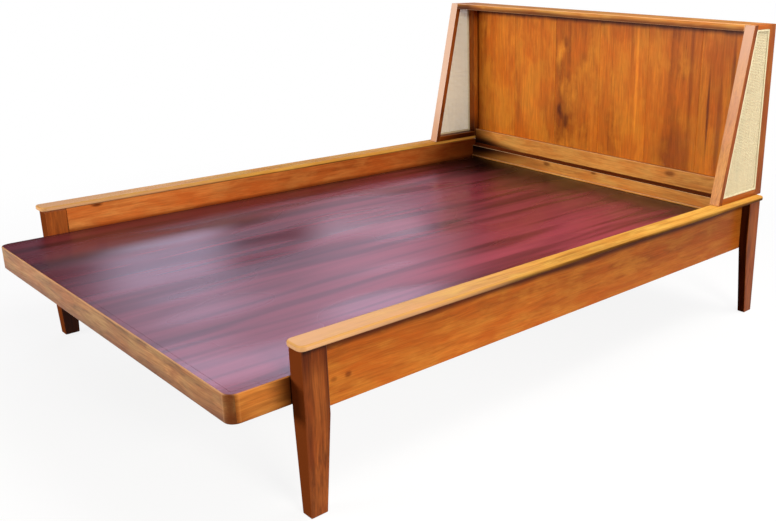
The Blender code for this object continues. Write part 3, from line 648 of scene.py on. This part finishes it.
# Each timber finish: its colour, and where its grain and varnish differ from the usual
TIMBERS = {
    "orange_varnished_pine": ("rail", dict(contrast=0.75, mottle=1.0, knots_and_shade=RAIL_KNOTS_AND_SHADE, wear_and_edge_shading="B06428")),
    # Painted light: the left rail's paler copy of the rail finish
    "dull_varnished_pine": ("rail_left", dict(contrast=0.75, mottle=1.0, knots_and_shade=RAIL_KNOTS_AND_SHADE, wear_and_edge_shading="B06428")),
    "red_stained_pine": ("leg", dict(contrast=1.5, coarse=1.3, knots_and_shade=LEG_STREAKS_AND_SHADE, wear_and_edge_shading="7A3C18")),
    # Painted shade: the darker copy on the legs' fronts and in the head rail's rebate, darkest on the head
    # legs
    "dark_stained_pine": ("leg_front_shade", dict(
        contrast=1.3, gloss=0, roughness=0.6, shine=0, knots_and_shade=LEG_FRONT_SHADE, painted_brightening=(1, 0.5, -0.5, "6E3414"),
        wear_and_edge_shading="7A3A18",
    )),
    # Painted highlight: the caps pale towards the foot
    "honey_varnished_pine": ("cap", dict(
        contrast=0.9, gloss=0, roughness=0.45, shine=0.03, knots_and_shade=CAP_SHADE_AND_TONE, painted_brightening=(1, -0.1, -0.8, "D4A47A"),
        wear_and_edge_shading="C08A3C",
    )),
    "tan_lipping_pine": ("edge", dict(contrast=1.6, mottle=1.0, knots_and_shade=EDGE_SHADE_AND_TONE, wear_and_edge_shading="CC9868")),
    "orange_lipping_pine": ("edge_side", dict(knots_and_shade=EDGE_SHADE_AND_TONE, wear_and_edge_shading="C88040")),
    "honey_framing_pine": ("frame", dict(contrast=0.9, mottle=0.9, knots_and_shade=FRAME_KNOTS_AND_SHADE, wear_and_edge_shading="E0B080")),
    # Painted light: the wing fronts pale upwards, the left one paler than the right
    "bleached_pine": ("stile", dict(shine=0.03, painted_brightening=(2, 0.55, 0.98, "CCA48E"), wear_and_edge_shading="A06830")),
    "pale_bleached_pine": ("stile", dict(contrast=0.4, painted_brightening=(2, 0.3, 0.6, "DEBCA6"), wear_and_edge_shading="E8CCB8")),
    "knotty_board_pine": ("board", dict(
        contrast=0.9, coarse=2.2, mottle=0.9, knots_and_shade=BOARD_KNOTS_AND_SHADE, wear_and_edge_shading="A05A20",
    )),
    "unfinished_pine": ("pine", dict(contrast=0.5, gloss=0, roughness=0.7)),
}
# Each other finish: its colour, and the function that makes it
OTHER_FINISHES = {
    "lacquered_mahogany_veneer": ("veneer", mahogany_veneer),
    "natural_cane": ("cane", natural_cane),
    "turned_beech": ("beech", beech_rod),
    "zinc_plated_steel": ("zinc", zinc_plate),
}


def finish_of(context, name):
    """A material of the bed by its name, made the first time that it is asked for."""
    if name in bpy.data.materials:
        return bpy.data.materials[name]
    tones = context.scene.cane_bed_colours
    if name in TIMBERS:
        tone, settings = TIMBERS[name]
        return timber(name, getattr(tones, tone), **settings)
    tone, make = OTHER_FINISHES[name]
    return make(getattr(tones, tone))


# Operators


def move_toe(leg, axis, place, offset):
    """Moves the bottom of the face of a leg that stands at a place on an axis."""
    step = Vector()
    step[axis] = offset
    slide(leg, lambda p: p.co.z < NEAR and abs(p.co[axis] - place) < NEAR, step)


class CANEBED_OT_legs(bpy.types.Operator):
    """Model the four tapered legs"""

    bl_idname = "cane_bed.legs"
    bl_label = "Legs"

    def execute(self, context):
        sizes = context.scene.cane_bed_sizes
        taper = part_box("side_rail_right")[0].z
        low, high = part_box("foot_leg_right")
        foot = blank("foot_leg_right_timber", low, high)
        cut(foot, (0, 0, taper), (0, 0, 1), keep_all=True)
        move_toe(foot, 0, high.x, low.x + sizes.foot_toe_width - high.x)
        move_toe(foot, 1, low.y, sizes.foot_toe_front)
        move_toe(foot, 1, high.y, -sizes.foot_toe_rear)
        low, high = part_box("head_leg_right")
        inner, rear = high.x - sizes.head_leg_width, low.y + sizes.head_leg_depth
        head = blank("head_leg_right_timber", (inner, low.y, low.z), (high.x, rear, high.z))
        cut(head, (0, 0, taper), (0, 0, 1), keep_all=True)
        move_toe(head, 0, inner, low.x - inner)
        move_toe(head, 0, high.x, low.x + sizes.head_toe_width - high.x)
        move_toe(head, 1, low.y, sizes.head_toe_front)
        move_toe(head, 1, rear, sizes.head_toe_rear)
        for log, (leg, end) in enumerate(((foot, "foot"), (head, "head"))):
            round_edges(leg, sizes.leg_arris, 3, lambda edge: edge.calc_face_angle(0) > CORNER)
            for made, word in both_sides(leg):
                lay_grain(made, "Z", 2 * log + (word == "left"))
                hand_over(made, [f"{end}_leg_{word}"], "leg_wood", "red_stained_pine", "dark_stained_pine")
                # The fronts get painted shade: a darker copy of the stain
                for face in made.data.polygons:
                    face.material_index = int(face.normal.y < -0.8)
        return {"FINISHED"}


class CANEBED_OT_sides(bpy.types.Operator):
    """Model the side rails and the rounded caps that lie on them"""

    bl_idname = "cane_bed.sides"
    bl_label = "Sides"

    def execute(self, context):
        sizes = context.scene.cane_bed_sizes
        low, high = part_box("side_rail_right")
        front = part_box("foot_leg_right")[1].y + JOINT
        rail = blank("side_rail_right_timber", (low.x, front, low.z), high)
        round_edges(rail, sizes.arris, 2)
        cap = blank("side_cap_right_timber", *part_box("side_cap_right"))
        square = Vector((low.x, high.y))
        corners = lambda edge: runs(edge, 2) and (middle(edge).xy - square).length > ONE_JOINT
        round_edges(cap, sizes.cap_corner, 6, corners)
        round_edges(cap, sizes.cap_round, 4, lambda edge: edge.calc_face_angle(0) > SQUARE)
        rows = (
            (rail, "side_rail", "rail_wood", 5, ("orange_varnished_pine", "dull_varnished_pine")),
            (cap, "side_cap", "cap_wood", 7, ("honey_varnished_pine", "honey_varnished_pine")),
        )
        for piece, node, slot, log, woods in rows:
            for side, (made, word) in enumerate(both_sides(piece)):
                lay_grain(made, "Y", log + side)
                hand_over(made, [f"{node}_{word}"], slot, woods[side])
        return {"FINISHED"}


class CANEBED_OT_deck(bpy.types.Operator):
    """Model the deck: a veneered panel inside four lippings"""

    bl_idname = "cane_bed.deck"
    bl_label = "Deck"

    def execute(self, context):
        sizes = context.scene.cane_bed_sizes
        head_low, head_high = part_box("deck_edge_head")
        foot_low, foot_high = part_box("deck_edge_foot")
        panel_low, panel_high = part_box("deck_panel")
        slab_low = (head_low.x, foot_low.y, foot_low.z)
        slab = blank("deck_slab", slab_low, head_high)
        round_edges(slab, sizes.deck_corner, 8, lambda edge: runs(edge, 2) and middle(edge).y < foot_high.y)
        round_edges(slab, sizes.deck_arris, 3, lambda edge: edge.calc_face_angle(0) > SQUARE)
        ends = [((0, panel_low.y, 0), (0, -1, 0)), ((0, panel_high.y, 0), (0, 1, 0))]
        edges = (
            ("foot", [((0, foot_high.y, 0), (0, 1, 0))], "X"),
            ("head", [((0, head_low.y, 0), (0, -1, 0))], "X"),
            ("right", [*ends, ((panel_high.x + JOINT, 0, 0), (-1, 0, 0))], "Y"),
            ("left", [*ends, ((panel_low.x - JOINT, 0, 0), (1, 0, 0))], "Y"),
        )
        for log, (word, cuts, along) in enumerate(edges):
            edge = copied(slab, f"deck_edge_{word}_lipping")
            for place, outward in cuts:
                cut(edge, place, outward)
            lay_grain(edge, along, 11 + log)
            wood = "tan_lipping_pine" if along == "X" else "orange_lipping_pine"
            hand_over(edge, [f"deck_edge_{word}"], "deck_edge_wood", wood, "lacquered_mahogany_veneer")
            # The veneer runs out over the top of the lipping
            for face in edge.data.polygons:
                face.material_index = int(face.normal.z > 0.98)
            # Painted shade: the lippings' rounded foot corners are marked, most at the middle of each arc
            corner_shade_amount = edge.data.attributes.new("end_grain", "FLOAT", "POINT")
            for point, vertex in zip(corner_shade_amount.data, edge.data.vertices):
                out = max(0, abs(vertex.co.x) - head_high.x + sizes.deck_corner)
                down = max(0, foot_low.y + sizes.deck_corner - vertex.co.y)
                point.value = 2 * out * down / max(NEAR, out * out + down * down)
        bpy.data.meshes.remove(slab.data)
        panel = blank("deck_panel_veneer", panel_low, panel_high)
        round_edges(panel, sizes.veneer_arris, 1)
        lay_grain(panel, "Y", 15)
        hand_over(panel, ["deck_panel"], "stained_mahogany_veneer", "lacquered_mahogany_veneer")
        return {"FINISHED"}


class CANEBED_OT_cross_rails(bpy.types.Operator):
    """Model the head rail with its bead and the foot rail"""

    bl_idname = "cane_bed.cross_rails"
    bl_label = "Cross rails"

    def execute(self, context):
        sizes = context.scene.cane_bed_sizes
        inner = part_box("side_rail_right")[0].x - JOINT
        rows = (
            ("head_rail", inner, "rail_wood", "honey_framing_pine", 2),
            ("head_bead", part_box("head_bead")[1].x, "cap_wood", "honey_framing_pine", 2),
            ("foot_rail", inner, "unfinished_pine", "unfinished_pine", 1),
        )
        for log, (node, reach, slot, wood, segments) in enumerate(rows):
            low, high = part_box(node)
            rail = blank(f"{node}_timber", (-reach, low.y, low.z), (reach, high.y, high.z))
            rebate = Vector((0, low.y + sizes.rebate_depth, high.z - sizes.rebate_height))
            if node == "head_rail":
                combine(rail, (-1, 0, rebate.z), (1, rebate.y, 1), "DIFFERENCE")
            round_edges(rail, sizes.arris, segments, lambda edge: edge.calc_face_angle(0) > CORNER)
            lay_grain(rail, "X", 17 + log)
            hand_over(rail, [node], slot, wood)
            # Painted shade: the faces in the head rail's rebate get the darker copy of the stain
            if node == "head_rail":
                rail.data.materials.append(finish_of(context, "dark_stained_pine"))
                for face in rail.data.polygons:
                    face.material_index = int(face.center.z > rebate.z - NEAR)
        return {"FINISHED"}


class CANEBED_OT_under_frame(bpy.types.Operator):
    """Model the cleats, glue blocks and bearers under the deck"""

    bl_idname = "cane_bed.under_frame"
    bl_label = "Under frame"

    def execute(self, context):
        sizes = context.scene.cane_bed_sizes
        rows = [(f"side_cleat_{word}", "Y") for word in ("left", "right")]
        for end in ("foot", "head"):
            rows += [(f"corner_block_{end}_{word}", "Y") for word in ("left", "right")]
        rows += [(f"deck_bearer_{count}", "X") for count in range(1, 6)]
        for log, (node, along) in enumerate(rows):
            piece = blank(f"{node}_timber", *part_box(node))
            round_edges(piece, sizes.arris, 1)
            lay_grain(piece, along, 21 + log)
            hand_over(piece, [node], "unfinished_pine", "unfinished_pine")
        return {"FINISHED"}


class CANEBED_OT_headboard(bpy.types.Operator):
    """Model the headboard's boards, top board and bottom rail"""

    bl_idname = "cane_bed.headboard"
    bl_label = "Headboard"

    def execute(self, context):
        sizes = context.scene.cane_bed_sizes
        first_low, first_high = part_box("headboard_board_1")
        first = blank("headboard_board_1_timber", first_low, first_high)
        round_edges(first, sizes.board_arris, 1)
        made = [first]
        for count in range(2, 7):
            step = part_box(f"headboard_board_{count}")[0].x - first_low.x
            made.append(copied(first, f"headboard_board_{count}_timber", (step, 0, 0)))
        for count, board in enumerate(made, 1):
            lay_grain(board, "Z", 33 + count)
            hand_over(board, [f"headboard_board_{count}"], "headboard_board_wood", "knotty_board_pine")
        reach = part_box("wing_right_rear_stile")[0].x - JOINT
        behind = first_low.y - JOINT
        low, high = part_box("headboard_bottom_rail")
        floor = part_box("head_rail")[1].z + sizes.shadow_line
        rail = blank("headboard_bottom_rail_timber", (-reach, low.y, floor), (reach, high.y, high.z))
        round_edges(rail, sizes.arris, 3)
        combine(rail, (-1, behind, first_low.z - JOINT), (1, 1, 1), "DIFFERENCE")
        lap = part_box("side_rail_right")[0].x - JOINT
        lap_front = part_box("head_rail")[1].y + JOINT
        combine(rail, (-lap, lap_front, low.z), (lap, high.y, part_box("side_cap_right")[1].z), "UNION")
        cover = lap + sizes.lap_cover
        combine(rail, (-cover, lap_front, low.z), (cover, high.y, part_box("side_rail_right")[1].z), "UNION")
        low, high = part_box("headboard_top_board")
        slope = wing_front(high.z) - wing_front(low.z)
        top = blank("headboard_top_board_timber", (-reach, low.y, low.z), (reach, high.y, high.z))
        slide(top, lambda p: p.co.y < low.y + NEAR and p.co.z > high.z - NEAR, (0, slope, 0))
        round_edges(top, sizes.top_arris, 3)
        combine(top, (-1, behind, 0), (1, 1, first_high.z + JOINT), "DIFFERENCE")
        for log, (piece, node) in enumerate(((rail, "headboard_bottom_rail"), (top, "headboard_top_board"))):
            lay_grain(piece, "X", 41 + log)
            hand_over(piece, [node], "headboard_frame_wood", "honey_framing_pine")
        return {"FINISHED"}


def wing_front(height):
    """Where the sloping front of the wings stands at a height."""
    low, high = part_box("wing_right_front_stile")
    depth = bpy.context.scene.cane_bed_sizes.stile_depth
    return low.y + (high.y - depth - low.y) * (height - low.z) / (high.z - low.z)


class CANEBED_OT_wings(bpy.types.Operator):
    """Model the wings' stiles and rails"""

    bl_idname = "cane_bed.wings"
    bl_label = "Wings"

    def execute(self, context):
        sizes = context.scene.cane_bed_sizes
        # Painted light: the left wing's fronts get a paler copy than the right's
        pale = {"right": "bleached_pine", "left": "pale_bleached_pine"}
        low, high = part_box("wing_right_front_stile")
        stile = blank("wing_right_front_stile_timber", low, (high.x, low.y + sizes.stile_depth, high.z))
        slide(stile, lambda p: p.co.z > high.z - NEAR, (0, high.y - sizes.stile_depth - low.y, 0))
        rear_low, rear_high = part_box("wing_right_rear_stile")
        rear = blank("wing_right_rear_stile_timber", rear_low, rear_high)
        shapes = [(stile, "front_stile", "Z"), (rear, "rear_stile", "Z")]
        for word in ("bottom", "top"):
            low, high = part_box(f"wing_right_{word}_rail")
            behind = sizes.stile_depth + JOINT
            ends = [wing_front(height) + behind for height in (low.z, high.z)]
            end = (high.x, rear_low.y - JOINT, high.z)
            rail = blank(f"wing_right_{word}_rail_timber", (low.x, ends[0], low.z), end)
            slide(
                rail, lambda p: p.co.z > high.z - NEAR and p.co.y < ends[0] + NEAR, (0, ends[1] - ends[0], 0)
            )
            shapes.append((rail, f"{word}_rail", "Y"))
        for log, (piece, node, along) in enumerate(shapes):
            round_edges(piece, sizes.arris, 2)
            for side, (made, word) in enumerate(both_sides(piece)):
                lay_grain(made, along, 51 + 2 * log + side)
                woods = ["orange_varnished_pine"]
                # Painted light and shade: the front stile's front gets a paler copy, its flanks the darker
                # leg stain
                if piece is stile:
                    woods = ["honey_framing_pine", pale[word], "red_stained_pine"]
                hand_over(made, [f"wing_{word}_{node}"], "headboard_frame_wood", *woods)
                for face in made.data.polygons if piece is stile else ():
                    front, flank = face.normal.y < -0.7, abs(face.normal.x) > 0.7
                    face.material_index = 1 if front else 2 if flank else 0
        return {"FINISHED"}


def strands(name, reach, span, pitch, across, width, turn):
    """A set of strands that pass over and under the crossing ones, alternate strands the other way round."""
    sizes = bpy.context.scene.cane_bed_sizes
    half = sizes.cane_thickness / 2
    made = blank(name, (0, (across - width) / 2, -half), (2 * pitch, (across + width) / 2, half))
    pick(made, "EDGE", lambda edge: runs(edge, 0))
    bpy.ops.mesh.subdivide(number_cuts=3)
    leave()
    slide(made, lambda p: abs(p.co.x - pitch / 2) < NEAR, (0, 0, sizes.cane_swing * turn))
    slide(made, lambda p: abs(p.co.x - pitch * 1.5) < NEAR, (0, 0, -sizes.cane_swing * turn))
    pick(made, "FACE", lambda face: abs(face.normal.x) > 0.9)
    bpy.ops.mesh.delete(type="FACE")
    leave()
    steps = (
        (math.ceil(reach / (2 * pitch)) + 1, (2 * pitch, 0, 0)),
        (2, (-pitch, across, 0)),
        (math.ceil(span / (2 * across)), (0, 2 * across, 0)),
    )
    for count, offset in steps:
        step = made.modifiers.new("repeat", "ARRAY")
        step.count = count
        step.use_relative_offset = False
        step.use_constant_offset = True
        step.constant_offset_displace = offset
        step.use_merge_vertices = offset[1] == 0
        step.merge_threshold = WELD
        select_only(made)
        bpy.ops.object.modifier_apply(modifier=step.name)
    return made


class CANEBED_OT_cane(bpy.types.Operator):
    """Weave the cane of the wings strand by strand, and lay the reed that holds it"""

    bl_idname = "cane_bed.cane"
    bl_label = "Cane"

    def execute(self, context):
        sizes = context.scene.cane_bed_sizes
        low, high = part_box("wing_right_cane")
        middle_x = (low.x + high.x) / 2
        reach, span = high.z - low.z, high.y - low.y
        warp = strands("warp", reach, span, sizes.cane_weft, sizes.cane_warp, sizes.warp_width, 1)
        warp.data.transform(Matrix(((0, 0, 1, middle_x), (0, 1, 0, low.y), (1, 0, 0, low.z), (0, 0, 0, 1))))
        warp.data.flip_normals()
        weft = strands("weft", span, reach, sizes.cane_warp, sizes.cane_weft, sizes.weft_width, -1)
        weft.data.transform(Matrix(((0, 0, 1, middle_x), (1, 0, 0, low.y), (0, 1, 0, low.z), (0, 0, 0, 1))))
        lay_grain(warp, "Z", 61)
        lay_grain(weft, "Y", 62)
        select_only(warp)
        weft.select_set(True)
        bpy.ops.object.join()
        warp.name = warp.data.name = "wing_right_cane_weave"
        edge = sizes.stile_depth + 2 * JOINT
        front = Vector((0, wing_front(low.z) + edge, low.z))
        slope = Vector((0, wing_front(high.z) - wing_front(low.z), high.z - low.z))
        for place, outward in (
            (front, (0, -slope.z, slope.y)),
            ((0, high.y, 0), (0, 1, 0)),
            (low, (0, 0, -1)),
            (high, (0, 0, 1)),
        ):
            cut(warp, place, outward)
        for piece, word in both_sides(warp):
            hand_over(piece, [f"wing_{word}_cane"], "woven_cane", "natural_cane")
            piece.data.shade_smooth()
        self.lay_spline(context)
        return {"FINISHED"}

    def lay_spline(self, context):
        """The reed round each cane sheet, half round on its outer face."""
        sizes = context.scene.cane_bed_sizes
        low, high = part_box("wing_right_spline")
        bpy.ops.object.select_all(action="DESELECT")
        bpy.ops.mesh.primitive_plane_add(size=1, location=(low.x, 0, 0), rotation=(0, math.pi / 2, 0))
        bpy.ops.object.transform_apply(location=True, rotation=True, scale=True)
        reed = bpy.context.object
        reed.name = reed.data.name = "wing_right_spline_reed"
        edge = sizes.stile_depth + 2 * JOINT
        for point in reed.data.vertices:
            height = high.z if point.co.z > 0 else low.z
            point.co.y = high.y if point.co.y > 0 else wing_front(height) + edge
            point.co.z = height
        pick(reed, "FACE", lambda face: True)
        bpy.ops.mesh.inset(thickness=sizes.spline_width)
        bpy.ops.mesh.delete(type="FACE")
        bpy.ops.mesh.select_all(action="SELECT")
        bpy.ops.mesh.extrude_region_move(TRANSFORM_OT_translate={"value": (high.x - low.x, 0, 0)})
        bpy.ops.mesh.select_all(action="SELECT")
        bpy.ops.mesh.normals_make_consistent(inside=False)
        leave()
        round_edges(
            reed, sizes.spline_round, 3,
            lambda line: line.verts[0].co.x > high.x - NEAR and line.verts[1].co.x > high.x - NEAR
            and line.calc_face_angle(0) > 1,
        )
        for log, (piece, word) in enumerate(both_sides(reed)):
            lay_grain(piece, "Z", 63 + log)
            hand_over(piece, [f"wing_{word}_spline"], "woven_cane", "natural_cane")


class CANEBED_OT_fasteners(bpy.types.Operator):
    """Give the hidden dowels and screws their finishes"""

    bl_idname = "cane_bed.fasteners"
    bl_label = "Fasteners"

    def execute(self, context):
        for name, node in frame["nodes"].items():
            if "_dowel_" in name or "_screw_" in name:
                finish = finish_of(context, "turned_beech" if "_dowel_" in name else "zinc_plated_steel")
                for slot in node.material_slots:
                    slot.material = finish
        return {"FINISHED"}


def seen(tree, *rays):
    """One for a ray from the camera or of a kind that is named, and zero for any other."""
    found = add(tree, "LightPath", out="Is Camera Ray")
    for kind in rays:
        found = add(tree, "Math", [found, add(tree, "LightPath", out=kind)], operation="MAXIMUM")
    return found


def bare_material(name):
    """A material that has no nodes yet, and its node tree."""
    made = bpy.data.materials.new(name)
    made.use_nodes = True
    made.node_tree.nodes.clear()
    return made, made.node_tree


class CANEBED_OT_stage(bpy.types.Operator):
    """Set the pale floor, the lamps, the world and the camera"""

    bl_idname = "cane_bed.stage"
    bl_label = "Stage"

    def execute(self, context):
        scene = context.scene
        stage = scene.cane_bed_stage
        scene.view_settings.view_transform = "Standard"
        self.floor(context)
        self.panels(context, stage.sky)
        self.flag(context)
        self.world(scene, stage.ambient)
        # Each lamp's place, what it aims at, its size, its power and its tint
        lamps = (
            ("front_lamp", (-3.6, -8.4, 1.9), (0, 0.9, 0.6), (5, 1.4), stage.front, (1.0, 0.97, 0.93)),
            ("side_lamp", (4.2, -1.0, 1.8), (0.7, 0.0, 0.3), (1.2, 0.8), stage.side, (1.0, 0.96, 0.9)),
            ("top_lamp", (1.6, 1.1, 3.2), (0.1, 0.0, 0.3), (1.6, 1.6), stage.top, (1.0, 0.97, 0.93)),
        )
        for name, place, aim, size, power, tint in lamps:
            light = bpy.data.lights.new(name, "AREA")
            light.shape = "RECTANGLE"
            light.size, light.size_y = size
            light.energy, light.color = power, tint
            lamp = bpy.data.objects.new(name, light)
            lamp.location = place
            lamp.rotation_euler = (Vector(aim) - Vector(place)).to_track_quat("-Z", "Y").to_euler()
            lamp.visible_camera = False
            scene.collection.objects.link(lamp)
        self.camera(scene, stage)
        return {"FINISHED"}

    def floor(self, context):
        """A wide pale floor that is white to the camera except for the bed's soft shadow."""
        tones = context.scene.cane_bed_colours
        bpy.ops.object.select_all(action="DESELECT")
        bpy.ops.mesh.primitive_circle_add(vertices=96, radius=14, fill_type="NGON", location=(0, 0, 0))
        floor = context.object
        floor.name = "studio_floor"
        paint, tree = bare_material("pale_matt_floor")
        place = add(tree, "TexCoord", out="Object")
        away = add(tree, "VectorMath", [place], "Value", operation="LENGTH")
        fade = add(tree, "MapRange", [away, 1.2, 3.0, 0.86, 1], interpolation_type="SMOOTHSTEP")
        bounce = add(tree, "BsdfDiffuse", {"Color": (*tones.bounce, 1)})
        pale = add(tree, "BsdfDiffuse", {"Color": (*tones.floor, 1)})
        white = add(tree, "Emission", {"Color": (1, 1, 1, 1), "Strength": 1})
        shown = add(tree, "MixShader", [fade, pale, white])
        mix = add(tree, "MixShader", [seen(tree, "Is Glossy Ray"), bounce, shown])
        add(tree, "OutputMaterial", {"Surface": mix})
        floor.data.materials.append(paint)

    def glow(self, name, tint, level, soft):
        """A material that glows evenly, and where it is soft fades out towards the edges of its panel."""
        silk, tree = bare_material(name)
        place = add(tree, "TexCoord", out="Object")
        for axis, width in enumerate(soft):
            off = add(tree, "Math", [add(tree, "SeparateXYZ", [place], axis)], operation="ABSOLUTE")
            edge = add(tree, "MapRange", [off, 0.5, 0.5 - width, 0, 1], interpolation_type="SMOOTHSTEP")
            level = add(tree, "Math", [edge, level], operation="MULTIPLY")
        lit = add(tree, "Emission", {"Color": (*tint, 1), "Strength": level})
        add(tree, "OutputMaterial", {"Surface": lit})
        return silk

    def panels(self, context, level):
        """Cool panels with soft edges that the deck's lacquer mirrors, in front of a wide dim card."""
        across, forward = Vector((0.571, 0.821, 0)), Vector((0.821, -0.571, 0))
        behind, facing = Vector((-3.7, 2.6, 0)), 55.2
        lilac, pink, dim = (0.78, 0.73, 1.0), (0.95, 0.78, 1.0), context.scene.cane_bed_colours.card
        # How far each is to the side, how high and how much nearer, its size, tint, level and soft edges
        rows = (
            ("dim_card", -0.6, 2.0, 0, (9.5, 4.0), dim, 1, ()),
            ("left_panel", -1.68, 1.95, 0.05, (1.3, 1.5), lilac, level, (0.34, 0.26)),
            ("right_panel", -0.06, 2.2, 0.05, (1.3, 1.4), pink, 1.5 * level, (0.3, 0.22)),
            ("upper_panel", -0.85, 2.95, 0.1, (3.6, 1.9), lilac, 1.5 * level, (0.2, 0.2)),
        )
        for name, shift, height, nearer, size, tint, power, soft in rows:
            place = behind + across * shift + forward * nearer + Vector((0, 0, height))
            panel = self.card(context, name, place, facing, size)
            panel.visible_camera = False
            panel.data.materials.append(self.glow(f"{name}_silk", tint, power, soft))

    def card(self, context, name, place, turn, size):
        """An upright card, turned by degrees about its upright axis."""
        bpy.ops.object.select_all(action="DESELECT")
        bpy.ops.mesh.primitive_plane_add(
            size=1, location=place, rotation=(math.pi / 2, 0, math.radians(turn))
        )
        made = context.object
        made.name = name
        made.scale = (*size, 1)
        return made

    def flag(self, context):
        """A small black card that keeps the side lamp off the head-left corner."""
        card = self.card(context, "flag", (1.0, 0.27, 0.80), 69, (0.36, 0.2))
        card.visible_camera = card.visible_glossy = card.visible_diffuse = False
        felt = new_finish("black_felt", Roughness=1, Base_Color=(0.01, 0.01, 0.01, 1))[0]
        card.data.materials.append(felt)

    def world(self, scene, ambient):
        """White to the camera and in reflections, and plain soft light otherwise."""
        world = bpy.data.worlds.new("studio_world")
        world.use_nodes = True
        scene.world = world
        tree = world.node_tree
        tree.nodes.clear()
        white = seen(tree, "Is Glossy Ray", "Is Transmission Ray")
        level = add(tree, "MapRange", {"Value": white, "To Min": ambient, "To Max": 1})
        back = add(tree, "Background", {"Color": (1, 1, 1, 1), "Strength": level})
        add(tree, "OutputWorld", {"Surface": back})

    def camera(self, scene, stage):
        """The camera of the photograph, in its frame of 776 by 521."""
        view = bpy.data.cameras.new("camera")
        view.lens, view.sensor_width, view.sensor_fit = stage.lens, SENSOR, "HORIZONTAL"
        view.shift_x, view.shift_y = FRAMING
        view.clip_start, view.clip_end = 0.05, 100
        camera = bpy.data.objects.new("camera", view)
        camera.location = stage.camera
        turn = Matrix.Rotation(stage.turn, 3, "Z") @ Matrix.Rotation(math.pi / 2 - stage.tilt, 3, "X")
        camera.rotation_euler = (turn @ Matrix.Rotation(stage.roll, 3, "Z")).to_euler()
        scene.collection.objects.link(camera)
        scene.camera = camera


MAKERS = (
    CANEBED_OT_legs,
    CANEBED_OT_sides,
    CANEBED_OT_deck,
    CANEBED_OT_cross_rails,
    CANEBED_OT_under_frame,
    CANEBED_OT_headboard,
    CANEBED_OT_wings,
    CANEBED_OT_cane,
    CANEBED_OT_fasteners,
    CANEBED_OT_stage,
)


class CANEBED_PT_sidebar(bpy.types.Panel):
    """The bed's operators, sizes and colours"""

    bl_idname = "CANEBED_PT_sidebar"
    bl_label = "Cane bed"
    bl_space_type = "VIEW_3D"
    bl_region_type = "UI"
    bl_category = "Cane bed"

    def draw(self, context):
        for maker in MAKERS:
            self.layout.operator(maker.bl_idname)
        scene = context.scene
        for group in (scene.cane_bed_sizes, scene.cane_bed_colours, scene.cane_bed_stage):
            box = self.layout.box()
            for field in group.__annotations__:
                box.prop(group, field)


CLASSES = (BedSizes, BedColours, BedStage, *MAKERS, CANEBED_PT_sidebar)


def register():
    for kind in CLASSES:
        bpy.utils.register_class(kind)
    bpy.types.Scene.cane_bed_sizes = PointerProperty(type=BedSizes)
    bpy.types.Scene.cane_bed_colours = PointerProperty(type=BedColours)
    bpy.types.Scene.cane_bed_stage = PointerProperty(type=BedStage)


def unregister():
    del bpy.types.Scene.cane_bed_stage, bpy.types.Scene.cane_bed_colours, bpy.types.Scene.cane_bed_sizes
    for kind in reversed(CLASSES):
        bpy.utils.unregister_class(kind)


def main():
    """Registers the add-on, makes every piece and sets the studio."""
    register()
    bpy.ops.cane_bed.legs()
    bpy.ops.cane_bed.sides()
    bpy.ops.cane_bed.deck()
    bpy.ops.cane_bed.cross_rails()
    bpy.ops.cane_bed.under_frame()
    bpy.ops.cane_bed.headboard()
    bpy.ops.cane_bed.wings()
    bpy.ops.cane_bed.cane()
    bpy.ops.cane_bed.fasteners()
    bpy.ops.cane_bed.stage()


if __name__ == "__main__":
    main()
